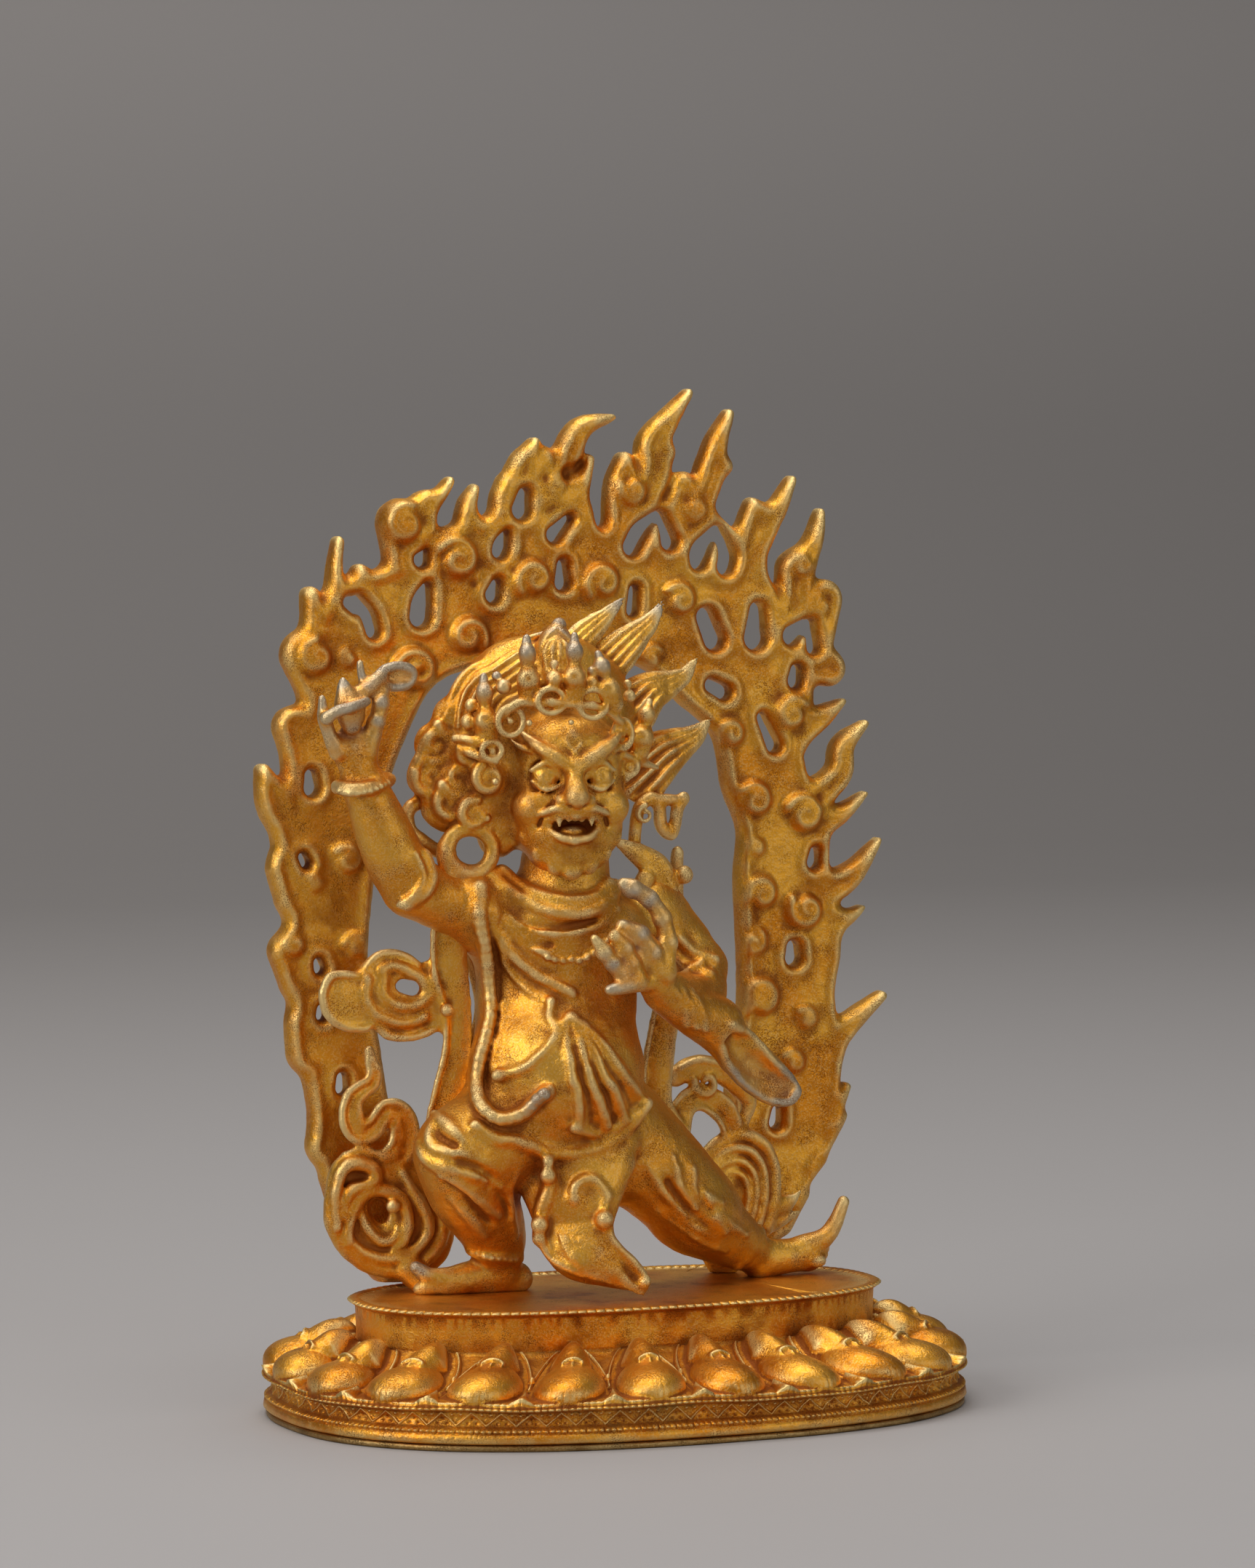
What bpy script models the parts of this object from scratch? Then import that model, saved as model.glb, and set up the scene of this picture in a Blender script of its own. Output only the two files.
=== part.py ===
"""Gilt cast statuette of a wrathful guardian, striding on a lotus base before an arch of flames.

Four castings: the lotus base, the sheet that closes it below, the figure and the flame arch.
Everything is laid out in millimetres, +Z up, with +X to the viewer's right and the front
facing -Y. The origin is the middle of the underside. Finished meshes are scaled to metres.
"""

import math

import bmesh
import bpy
import numpy as np
from mathutils import Matrix, Vector

TO_METRES = 0.001
CLEARANCE = 0.3

# Lotus base, from the ground up
BASE_LENGTH = 39.6
BASE_DEPTH = 28.2
SQUARENESS = 2.4
SHEET_THICKNESS = 0.35
SHEET_OVERHANG = 0.1
FOOT_BAND = 0.5
PATTERN_BAND = 1.35
BEAD_LINE = 0.28
PETAL_RISE = 1.95
WALL_HEIGHT = 1.45
LIP_HEIGHT = 0.3
LIP_REACH = 0.35
PLATFORM_LENGTH = 30.2
PLATFORM_DEPTH = 16.0
PETALS = 22
PETAL_COLUMNS = 5
PETAL_START = 0.8
PETAL_BULGE = 1.25

# Figure: it stands on the platform, and is brought to this height from its drawn one
FIGURE_HEIGHT = 38.7
FIGURE_GRAIN = 0.3
FIGURE_TRIANGLES = 4000

# Flame arch: laid out for a height of 50.1
ARCH_HEIGHT = 50.1
ARCH_THICKNESS = 1.4
ARCH_FRONT = 5.6
SCROLL_HEIGHT = 0.3

BASE_BOTTOM = SHEET_THICKNESS + CLEARANCE
PLATFORM_TOP = (
    BASE_BOTTOM + FOOT_BAND + PATTERN_BAND + BEAD_LINE + PETAL_RISE + WALL_HEIGHT + LIP_HEIGHT
)
STANDING = PLATFORM_TOP + CLEARANCE
DRAWN_FLOOR = 6.92
DRAWN_ARCH = 50.1


def clear_scene():
    for old in list(bpy.data.objects):
        bpy.data.objects.remove(old)


def gilt(name, color, roughness):
    """A gilded metal of one tone."""
    material = bpy.data.materials.new(name)
    material.use_nodes = True
    shader = material.node_tree.nodes["Principled BSDF"]
    shader.inputs["Base Color"].default_value = (*color, 1.0)
    shader.inputs["Metallic"].default_value = 1.0
    shader.inputs["Roughness"].default_value = roughness
    return material


def add_object(name, points, faces, material=None):
    """An object whose mesh is in metres, made from points in millimetres."""
    mesh = bpy.data.meshes.new(name)
    mesh.from_pydata((np.asarray(points) * TO_METRES).tolist(), [], [list(f) for f in faces])
    mesh.validate()
    made = bpy.data.objects.new(name, mesh)
    bpy.context.scene.collection.objects.link(made)
    if material:
        mesh.materials.append(material)
        mesh.shade_smooth()
        mesh.set_sharp_from_angle(angle=math.radians(40))
    return made


def oval(length, depth, shares):
    """Points at these shares of the way round a squared oval, by length of arc from its +X end."""
    turn = np.linspace(0, 2 * math.pi, 2881)
    power = 2 / SQUARENESS
    x = length / 2 * np.sign(np.cos(turn)) * np.abs(np.cos(turn)) ** power
    y = depth / 2 * np.sign(np.sin(turn)) * np.abs(np.sin(turn)) ** power
    run = np.concatenate([[0], np.cumsum(np.hypot(np.diff(x), np.diff(y)))])
    along = (np.asarray(shares) % 1) * run[-1]
    return np.stack([np.interp(along, run, x), np.interp(along, run, y)], axis=1)


def stacked(rows, start=0):
    """Faces that join rings of equal count into one wall, closed by a flat face at each end."""
    rings, count = rows
    faces = [list(range(start, start + count))[::-1]]
    for ring in range(rings - 1):
        low = start + ring * count
        for i in range(count):
            j = (i + 1) % count
            faces.append([low + i, low + j, low + count + j, low + count + i])
    faces.append(list(range(start + (rings - 1) * count, start + rings * count)))
    return faces


def lotus_base(material):
    """The base as rings up its profile, each petal two bulges on the slope between them."""
    count = PETALS * PETAL_COLUMNS
    column = np.arange(count) / PETAL_COLUMNS
    shares = (column + PETAL_START) / PETALS
    across = np.abs(np.cos(math.pi * column)) ** 0.7
    heights = {"foot": BASE_BOTTOM}
    heights["band"] = heights["foot"] + FOOT_BAND
    heights["beads"] = heights["band"] + PATTERN_BAND
    heights["petals"] = heights["beads"] + BEAD_LINE
    heights["wall"] = heights["petals"] + PETAL_RISE
    heights["lip"] = heights["wall"] + WALL_HEIGHT
    rings = []

    def ring(z, length, depth, bulge=0.0):
        flat = oval(length, depth, shares)
        out = flat / np.linalg.norm(flat, axis=1, keepdims=True)
        lift = (bulge * across)[:, None]
        rings.append(np.hstack([flat + out * lift * 0.55, z + lift * 0.8]))

    narrow = 0.5
    ring(heights["foot"], BASE_LENGTH, BASE_DEPTH)
    ring(heights["band"], BASE_LENGTH, BASE_DEPTH)
    ring(heights["beads"] - BEAD_LINE, BASE_LENGTH - narrow, BASE_DEPTH - narrow)
    ring(heights["beads"] + BEAD_LINE / 2, BASE_LENGTH, BASE_DEPTH)
    # Share of the way in along the slope, and share of the full bulge there
    for inward, swell in ((0.08, 0.3), (0.26, 1.0), (0.46, 0.5), (0.62, 1.0), (0.84, 0.8)):
        ring(
            heights["petals"] + PETAL_RISE * inward**1.15,
            BASE_LENGTH - (BASE_LENGTH - PLATFORM_LENGTH) * inward,
            BASE_DEPTH - (BASE_DEPTH - PLATFORM_DEPTH) * inward,
            PETAL_BULGE * swell,
        )
    ring(heights["wall"], PLATFORM_LENGTH, PLATFORM_DEPTH)
    ring(heights["lip"], PLATFORM_LENGTH, PLATFORM_DEPTH)
    lip = 2 * LIP_REACH
    ring(PLATFORM_TOP - LIP_HEIGHT / 2, PLATFORM_LENGTH + lip, PLATFORM_DEPTH + lip)
    ring(PLATFORM_TOP, PLATFORM_LENGTH, PLATFORM_DEPTH)
    return add_object("lotus_base", np.concatenate(rings), stacked((len(rings), count)), material)


def base_plate(material):
    """The closing sheet, an oval a little wider than the foot band."""
    count = 48
    shares = np.arange(count) / count
    flat = oval(BASE_LENGTH + 2 * SHEET_OVERHANG, BASE_DEPTH + 2 * SHEET_OVERHANG, shares)
    rings = [np.hstack([flat, np.full((count, 1), z)]) for z in (0.0, SHEET_THICKNESS)]
    return add_object("base_plate", np.concatenate(rings), stacked((2, count)), material)


def smooth_route(route, steps):
    """A curve that passes through every row of route, with steps points to each stretch."""
    route = np.asarray(route, float)
    ends = np.concatenate([[2 * route[0] - route[1]], route, [2 * route[-1] - route[-2]]])
    share = np.linspace(0, 1, steps, endpoint=False)[:, None]
    pieces = []
    for a, b, c, d in zip(ends, ends[1:], ends[2:], ends[3:]):
        pieces.append(
            0.5 * (2 * b + (c - a) * share + (2 * a - 5 * b + 4 * c - d) * share**2
                   + (3 * b - a - 3 * c + d) * share**3)
        )
    pieces.append(route[-1:])
    return np.concatenate(pieces)


class Wax:
    """Closed shells that overlap, gathered before they are fused into one casting."""

    def __init__(self):
        self.points = []
        self.faces = []
        self.count = 0

    def add(self, points, faces):
        points = np.array(points, float)
        points[:, 2] = np.maximum(points[:, 2], DRAWN_FLOOR)
        self.points.append(points)
        self.faces += [[i + self.count for i in face] for face in faces]
        self.count += len(points)

    def ball(self, middle, radii, lean=0.0, turn=0.0):
        """An ellipsoid, leaning about Y and then turned about Z, in degrees."""
        made = bmesh.new()
        bmesh.ops.create_uvsphere(made, u_segments=16, v_segments=10, radius=1.0)
        place = (
            Matrix.Translation(middle)
            @ Matrix.Rotation(math.radians(turn), 4, "Z")
            @ Matrix.Rotation(math.radians(lean), 4, "Y")
            @ Matrix.Diagonal((*np.broadcast_to(radii, 3), 1))
        )
        made.transform(place)
        made.verts.index_update()
        self.add([v.co[:] for v in made.verts], [[v.index for v in f.verts] for f in made.faces])
        made.free()

    def tube(self, route, radii, flat=1.0, face=(0, -1, 0), sides=8, steps=5):
        """A bar through the route. Flat is its thickness towards face, as a share of its width."""
        radii = np.broadcast_to(radii, len(route))
        curve = smooth_route([(*p, r) for p, r in zip(route, radii)], steps)
        middle, radius = curve[:, :3], np.maximum(curve[:, 3], 0.05)[:, None]
        ahead = np.gradient(middle, axis=0)
        ahead /= np.linalg.norm(ahead, axis=1, keepdims=True)
        side = np.cross(ahead, face)
        side /= np.linalg.norm(side, axis=1, keepdims=True)
        out = np.cross(side, ahead)
        turn = 2 * math.pi * np.arange(sides) / sides
        rings = [
            middle + radius * (math.cos(a) * side + flat * math.sin(a) * out) for a in turn
        ]
        points = np.stack(rings, axis=1).reshape(-1, 3)
        self.add(points, stacked((len(curve), sides)))

    def ring(self, middle, radius, thickness, normal=(0, -1, 0), squash=1.0, arc=360.0, start=0.0):
        """A round bar bent to a ring, or to part of one, about normal."""
        axis = Vector(normal).normalized()
        right = axis.cross(Vector((0, 0, 1)))
        right = Vector((1, 0, 0)) if right.length < 0.1 else right.normalized()
        upward = right.cross(axis)
        route = []
        for k in range(13):
            a = math.radians(start + arc * k / 12)
            route.append(
                np.array(middle) + radius * (math.cos(a) * np.array(right)
                                             + squash * math.sin(a) * np.array(upward))
            )
        self.tube(route, thickness, face=tuple(axis), steps=2)

    def cast(self, name, grain, triangles):
        """Fuses the shells on a grid of this grain and thins the result to this many triangles."""
        rough = add_object(name + "_wax", np.concatenate(self.points) / TO_METRES, self.faces)
        fuse = rough.modifiers.new("fuse", "REMESH")
        fuse.mode = "VOXEL"
        fuse.voxel_size = grain
        graph = bpy.context.evaluated_depsgraph_get()
        fused = bpy.data.meshes.new_from_object(rough.evaluated_get(graph))
        rough.modifiers.clear()
        rough.data = fused
        fused.calc_loop_triangles()
        thin = rough.modifiers.new("thin", "DECIMATE")
        thin.ratio = min(1.0, triangles / len(fused.loop_triangles))
        graph = bpy.context.evaluated_depsgraph_get()
        mesh = bpy.data.meshes.new_from_object(rough.evaluated_get(graph))
        bpy.data.objects.remove(rough)
        return mesh


def torso(wax):
    """Trunk with its round belly, turned a little to the viewer's left."""
    wax.ball((-3.0, 0.9, 15.8), (5.4, 3.4, 3.2))
    wax.ball((-3.3, -0.6, 19.0), (4.8, 4.1, 4.7), turn=-20)
    wax.ball((-3.5, 0.4, 23.2), (4.5, 3.1, 4.2), turn=-20)
    wax.ball((-3.4, 0.5, 26.4), (5.3, 3.0, 3.2), turn=-15)
    wax.ball((-7.9, 1.0, 27.9), (2.0, 1.9, 2.0))
    wax.ball((2.0, 0.8, 27.6), (2.0, 1.9, 1.9))
    wax.tube([(-3.3, 0.6, 27.5), (-3.1, 0.4, 32.0)], (2.6, 2.2))


def legs(wax):
    """The bent right leg and the outstretched left one, in loose trousers, with bare feet."""
    wax.tube([(-4.4, 0.8, 16.0), (-7.6, 0.2, 15.2), (-9.6, -0.4, 13.9)], (3.0, 3.0, 2.5), sides=10)
    wax.tube([(-9.6, -0.3, 14.2), (-9.0, 0.6, 12.2), (-7.4, 1.6, 9.6)], (2.5, 2.4, 1.8), sides=10)
    wax.tube([(-7.4, 1.6, 10.0), (-6.6, 2.0, 8.2)], (1.2, 1.1))
    wax.ring((-6.9, 1.9, 9.1), 1.3, 0.4, normal=(0.2, 0, 1))
    wax.tube([(-5.3, 2.0, 7.8), (-7.6, 2.3, 7.8), (-9.6, 2.8, 7.5)], (1.0, 1.0, 0.9), sides=10)
    wax.tube([(-9.2, 2.4, 7.5), (-10.0, 2.6, 7.6), (-10.5, 2.8, 8.3)], (0.6, 0.55, 0.5))
    wax.tube([(-0.5, 0.8, 15.6), (2.6, 0.6, 12.9), (5.6, 1.1, 10.4)], (3.4, 2.8, 2.1), sides=10)
    wax.tube([(5.0, 1.0, 10.8), (7.2, 1.5, 9.4), (8.9, 1.9, 8.4)], (2.1, 1.8, 1.4), sides=10)
    wax.tube([(8.4, 2.0, 7.8), (10.6, 2.0, 7.9), (12.6, 2.1, 7.7)], (1.1, 1.0, 0.8), sides=10)
    wax.tube([(12.0, 2.1, 7.8), (13.8, 2.0, 8.7), (14.7, 2.0, 10.1)], (0.8, 0.6, 0.5))


def raised_arm(wax):
    """The right arm, held up beside the head, with the thunderbolt in its hand."""
    wax.tube([(-8.4, 1.0, 27.8), (-10.6, 1.2, 28.0), (-12.4, 1.3, 28.9)], (1.9, 1.75, 1.5))
    wax.tube([(-12.3, 1.3, 28.6), (-13.8, 1.0, 31.4), (-14.9, 0.6, 34.6)], (1.6, 1.5, 1.15))
    wax.tube([(-14.8, 0.6, 34.2), (-15.2, 0.4, 37.0), (-15.6, 0.3, 38.2)], (1.1, 1.45, 1.0), flat=0.7)
    wax.ring((-14.95, 0.6, 34.9), 1.35, 0.35, normal=(-0.3, 0, 1))
    wax.ring((-11.2, 1.1, 28.5), 1.75, 0.4, normal=(-1, 0, 0.5))
    wax.tube([(-15.6, 0.0, 37.2), (-17.0, -0.4, 38.4), (-16.9, -0.5, 39.8)], (0.55, 0.5, 0.4))
    wax.tube([(-14.6, 0.1, 37.6), (-13.9, -0.1, 39.0), (-14.2, -0.1, 40.4)], (0.55, 0.5, 0.4))
    wax.ball((-15.6, -0.5, 39.0), (1.7, 0.9, 0.95), lean=-15)
    wax.tube([(-17.6, -0.6, 38.8), (-15.4, -0.5, 39.4), (-13.4, 0.2, 40.8)], (0.45, 0.5, 0.4))
    wax.tube([(-14.0, 0.1, 40.6), (-12.6, 0.5, 40.5), (-11.6, 0.6, 41.0)], (0.55, 0.7, 0.3))


def lowered_arm(wax):
    """The left arm, bent across the chest in a warning gesture, with its forearm drape."""
    wax.tube([(2.4, 0.9, 27.6), (4.4, 1.1, 25.8), (6.1, 0.6, 23.2)], (1.8, 1.7, 1.5))
    wax.tube([(6.1, 0.4, 23.1), (3.8, -1.9, 22.9), (1.2, -3.6, 23.3)], (1.5, 1.4, 1.1))
    wax.ring((5.3, 0.9, 24.8), 1.7, 0.4, normal=(0.6, 0, -1))
    wax.tube([(1.2, -3.6, 23.2), (0.2, -4.4, 24.6), (-0.6, -4.7, 26.0)], (1.1, 1.5, 1.2), flat=0.65)
    wax.tube([(0.6, -4.6, 25.4), (0.4, -4.9, 27.4), (-1.2, -4.9, 29.2)], (0.55, 0.5, 0.4))
    wax.tube([(-0.6, -4.7, 25.6), (-1.8, -5.2, 26.6), (-2.2, -5.0, 27.2)], (0.55, 0.5, 0.45))
    wax.tube([(-0.9, -4.7, 24.8), (-2.3, -5.1, 25.4), (-2.8, -4.9, 25.9)], (0.55, 0.5, 0.45))
    wax.tube([(0.9, -4.4, 24.2), (-0.6, -5.3, 23.8), (-1.8, -5.0, 24.3)], (0.55, 0.5, 0.45))
    drape = [(3.6, -2.2, 22.4), (6.0, -2.0, 20.5), (8.6, -1.6, 18.8), (10.6, -1.4, 17.6)]
    wax.tube(drape, (0.9, 1.3, 1.2, 0.8), flat=0.4, face=(0.3, -1, 0.5))


def head(wax):
    """A wrathful mask: heavy brows, wide nose, open mouth and a curled beard."""
    wax.ball((-3.2, 0.0, 34.4), (3.3, 3.5, 4.2))
    wax.ball((-6.2, -1.6, 33.4), (1.2, 1.2, 1.6))
    wax.ball((-2.0, -2.2, 33.3), (1.3, 1.2, 1.6))
    wax.ball((-4.1, -3.4, 34.0), (0.9, 1.0, 0.75))
    wax.tube([(-4.1, -3.1, 36.2), (-4.1, -3.6, 34.2)], (0.4, 0.65))
    for eye, brow in ((-5.7, -7.0), (-2.5, -1.0)):
        wax.ball((eye, -2.9, 35.5), (0.75, 0.6, 0.6))
        middle = (eye - 4.1) / 2
        wax.tube([(-4.1 + 0.2 * middle, -3.5, 36.1), (eye, -3.4, 36.9), (brow, -2.6, 37.6)],
                 (0.45, 0.5, 0.35))
    wax.ball((-4.1, -3.3, 37.1), (0.35, 0.4, 0.5))
    wax.tube([(-6.4, -2.4, 33.2), (-5.2, -3.2, 33.2), (-4.1, -3.6, 33.3)], (0.3, 0.35, 0.3))
    wax.tube([(-1.9, -2.7, 33.2), (-3.0, -3.3, 33.2), (-4.1, -3.6, 33.3)], (0.3, 0.35, 0.3))
    wax.ball((-4.1, -2.9, 31.2), (1.9, 1.1, 0.95))
    for k in range(5):
        wax.ball((-6.0 + 0.95 * k, -3.0 - 0.5 * math.sin(math.pi * k / 4), 31.0 - 0.1 * k), 0.5)
    for side, x in ((-1, -7.6), (1, 0.4)):
        wax.tube([(x, 0.2, 35.2), (x + 0.3 * side, 0.2, 33.6), (x, 0.2, 32.2)], (0.6, 0.7, 0.7))
    wax.ring((-8.4, 0.2, 31.0), 1.15, 0.5)
    wax.ring((2.2, 0.2, 31.0), 0.95, 0.5)


def hair(wax):
    """Hair that stands up like fire: a backswept mass, curls to the left, four tongues to the right."""
    wax.ball((-4.2, 1.9, 38.2), (6.0, 2.6, 4.9))
    for k in range(7):
        a = math.radians(115 + 17 * k)
        tip = (-4.6 + 6.9 * math.cos(a), 1.6, 36.9 + 6.3 * math.sin(a))
        root = (-4.0 + 2.5 * math.cos(a), 0.8, 36.5 + 2.5 * math.sin(a))
        bend = ((root[0] + tip[0]) / 2 - 0.5, 1.0, (root[2] + tip[2]) / 2 + 0.6)
        wax.tube([root, bend, tip], (1.3, 1.2, 0.5), flat=0.7)
    for middle, size in (((-10.3, 1.0, 37.3), 1.1), ((-10.9, 1.2, 35.5), 1.2), ((-10.3, 1.4, 33.6), 1.2),
                         ((-8.8, 0.8, 36.0), 1.2), ((-8.6, 0.8, 34.2), 1.1), ((-9.0, 1.4, 32.3), 1.0)):
        wax.ball(middle, (size, size * 0.9, size))
    tongues = (
        ((-2.8, 2.2, 40.2), (-0.6, 2.4, 43.0), (1.9, 2.8, 45.2), 1.5),
        ((-1.2, 2.2, 38.6), (2.0, 2.4, 41.2), (4.3, 2.9, 44.7), 1.7),
        ((0.0, 2.0, 36.4), (3.4, 2.3, 38.6), (6.4, 2.9, 41.6), 1.6),
        ((-0.4, 1.8, 34.0), (4.0, 2.2, 35.6), (7.3, 2.8, 38.4), 1.6),
    )
    for root, bend, tip, width in tongues:
        wax.tube([root, bend, tip], (width, width, 0.3), flat=0.42)


def crown(wax):
    """A band with five knobbed points and small loops between them."""
    wax.ring((-3.4, -0.2, 38.0), 4.0, 0.55, normal=(0.05, 0.2, 1), squash=0.92)
    points = (
        ((-7.6, -1.9, 37.4), (-8.8, -2.0, 40.8), 0.75),
        ((-6.1, -3.1, 38.8), (-6.8, -3.2, 43.1), 0.85),
        ((-4.0, -3.5, 38.8), (-3.9, -3.4, 42.7), 0.8),
        ((-1.9, -3.1, 38.8), (-1.6, -3.0, 42.1), 0.75),
        ((0.7, -1.6, 36.0), (1.0, -1.6, 39.2), 0.75),
    )
    for root, tip, width in points:
        middle = np.add(root, tip) / 2
        wax.tube([root, middle, tip], (width, width * 0.8, width * 0.35), flat=0.8)
        wax.ball(tuple(np.add(root, (0, -0.2, 0.4))), width * 0.95)
    for a, b in zip(points, points[1:]):
        wax.ring(tuple(np.add(a[0], b[0]) / 2 + (0, -0.3, 0.9)), 0.6, 0.28)
    wax.ball((-4.2, -0.6, 42.4), (1.0, 1.0, 1.2))
    wax.ball((-4.2, -1.0, 43.3), 0.45)


def jewels(wax):
    """Collar, draped necklaces, the garland and the knotted sash over the belly."""
    wax.ring((-3.4, -0.2, 28.9), 3.5, 0.55, normal=(0.1, 0.45, 1), squash=0.85)
    wax.tube([(-7.8, -0.6, 28.4), (-5.4, -3.0, 25.6), (-3.0, -3.3, 24.8), (0.4, -2.4, 26.4)], 0.45)
    garland = [(-8.6, -0.8, 28.9), (-8.3, -1.9, 25.6), (-8.0, -2.4, 22.6), (-8.7, -2.6, 19.4),
               (-8.3, -3.2, 17.0), (-7.0, -4.4, 16.5), (-5.4, -5.0, 18.2)]
    wax.tube(garland, 0.45, sides=6)
    for k in range(4):
        foot = (-4.6 + 0.95 * k, -4.9 + 0.12 * k, 16.6)
        wax.tube([(-4.5, -3.4, 22.6), ((foot[0] - 4.5) / 2, -4.5, 19.6), foot], (0.35, 0.4, 0.45))
    wax.ball((-4.6, -3.3, 22.8), (0.6, 0.5, 0.5))
    wax.tube([(-4.8, -3.4, 22.6), (-6.6, -4.0, 20.4), (-8.5, -3.0, 19.3)], 0.35, sides=6)


def apron(wax):
    """The animal skin that hangs between the legs down to its clawed paw."""
    wax.tube([(-3.2, -2.4, 15.0), (-3.5, -3.0, 12.4), (-3.4, -3.5, 9.8)], (3.3, 2.6, 1.8), flat=0.45)
    wax.tube([(-3.3, -3.5, 9.8), (-2.4, -3.9, 8.2), (0.1, -4.3, 7.3)], (1.8, 1.4, 0.5), flat=0.6)
    wax.ball((-6.0, -3.2, 10.4), (0.7, 0.6, 0.8))
    wax.ball((-1.2, -3.9, 10.6), 0.5)
    wax.tube([(-5.4, -3.3, 14.0), (-5.6, -3.5, 12.4), (-6.0, -3.3, 10.6)], (0.45, 0.4, 0.5))


def scarves(wax):
    """The long scarf: down both sides, flaring at the left hip and curling at both feet."""
    left = [(-8.2, 1.2, 29.6), (-9.6, 2.0, 26.0), (-9.7, 2.4, 22.2), (-10.1, 2.8, 18.8), (-10.6, 3.2, 15.6),
            (-10.0, 3.6, 13.0)]
    wax.tube(left, (0.9, 0.85, 0.85, 0.9, 1.0, 1.1), flat=0.4, sides=6)
    wax.ring((-12.9, 2.0, 23.3), 1.5, 0.75, squash=0.95)
    wax.ball((-15.4, 1.8, 23.0), (1.7, 0.6, 1.6))
    wax.tube([(-14.4, 2.0, 24.6), (-12.6, 2.0, 25.4), (-10.2, 2.2, 24.6)], (0.6, 0.55, 0.6))
    wax.tube([(-14.6, 2.0, 21.8), (-12.4, 2.0, 21.1), (-10.2, 2.3, 21.8)], (0.6, 0.6, 0.6))
    for radius, start in ((2.9, 100), (1.7, 280)):
        wax.ring((-12.1, 4.0, 10.9), radius, 0.85, squash=1.05, arc=330, start=start)
    wax.ball((-12.6, 4.0, 8.9), (1.9, 0.7, 1.4))
    tail = [(-11.4, 4.0, 13.6), (-10.6, 4.0, 15.0), (-11.4, 4.0, 16.4), (-13.2, 4.0, 15.7),
            (-14.0, 4.0, 17.2), (-13.2, 4.0, 20.0)]
    wax.tube(tail, (0.9, 0.9, 0.7, 0.8, 0.8, 0.3), flat=0.7)
    wax.tube([(-10.4, 3.8, 12.2), (-8.8, 3.8, 10.0), (-9.6, 3.8, 7.6)], (0.9, 0.9, 0.8), flat=0.6)
    right = [(2.4, 1.8, 29.0), (4.0, 2.6, 24.6), (3.8, 3.0, 20.6), (3.2, 3.4, 16.8), (4.2, 3.8, 13.4)]
    wax.tube(right, (0.9, 0.85, 0.85, 0.9, 1.0), flat=0.4, sides=6)
    wax.tube([(3.6, 3.2, 19.6), (5.4, 3.8, 19.2), (7.4, 4.2, 17.9), (8.3, 4.3, 16.2)], 0.7, flat=0.6)
    wax.tube([(3.4, 3.4, 16.8), (4.8, 3.8, 17.4), (6.4, 4.1, 16.6), (7.6, 4.3, 14.6)], 0.7, flat=0.6)
    wax.tube([(4.2, 3.8, 13.6), (6.8, 4.2, 14.4), (9.2, 4.4, 13.4), (10.6, 4.4, 11.2), (9.8, 4.4, 9.0)],
             (0.9, 1.0, 1.2, 1.1, 0.7), flat=0.5)
    wax.ball((8.0, 4.2, 11.4), (2.6, 0.7, 2.4))
    wax.tube([(5.0, 3.6, 12.0), (6.0, 4.0, 9.4), (6.9, 4.4, 7.3)], (1.1, 0.9, 0.6), flat=0.5)
    wax.tube([(2.0, 1.2, 33.0), (3.2, 1.5, 32.0), (4.4, 1.4, 33.0), (3.8, 1.4, 34.4)], 0.45)
    wax.tube([(2.6, 0.8, 31.6), (3.6, 1.2, 29.6), (4.0, 1.8, 27.0)], (0.7, 0.7, 0.6), flat=0.6)
    wax.ball((4.6, 1.2, 29.5), 0.55)
    wax.ball((-10.0, 1.6, 30.6), (1.7, 0.8, 1.8))


def height_of(mesh):
    """Height of a mesh, in its own units."""
    heights = [corner.co.z for corner in mesh.vertices]
    return max(heights) - min(heights)


def figure(material):
    """The whole deity as one casting, brought from its drawn height to its real one."""
    wax = Wax()
    for form in (torso, legs, raised_arm, lowered_arm, head, hair, crown, jewels, apron, scarves):
        form(wax)
    mesh = wax.cast("figure", FIGURE_GRAIN, FIGURE_TRIANGLES)
    growth = FIGURE_HEIGHT / height_of(mesh)
    mesh.transform(
        Matrix.Scale(TO_METRES, 4)
        @ Matrix.Translation((0, 0, STANDING))
        @ Matrix.Scale(growth, 4)
        @ Matrix.Translation((0, 0, -DRAWN_FLOOR))
    )
    mesh.materials.clear()
    mesh.materials.append(material)
    mesh.shade_smooth()
    made = bpy.data.objects.new("figure", mesh)
    bpy.context.scene.collection.objects.link(made)
    return made


def on_arch(x, z):
    """Place on the arch, in millimetres, of a point drawn at the arch's own height."""
    growth = ARCH_HEIGHT / DRAWN_ARCH
    return x * growth, STANDING + (z - DRAWN_FLOOR) * growth


def slab(outlines, front, back):
    """Points and faces of flat plates with these outlines, anticlockwise seen from the front."""
    points, faces = [], []
    for outline in outlines:
        count, start = len(outline), len(points)
        for y in (front, back):
            points += [(x, y, z) for x, z in (on_arch(*p) for p in outline)]
        faces.append([start + i for i in range(count)])
        faces.append([start + count + i for i in range(count)][::-1])
        for i in range(count):
            j = (i + 1) % count
            faces.append([start + j, start + i, start + count + i, start + count + j])
    return points, faces


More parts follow.
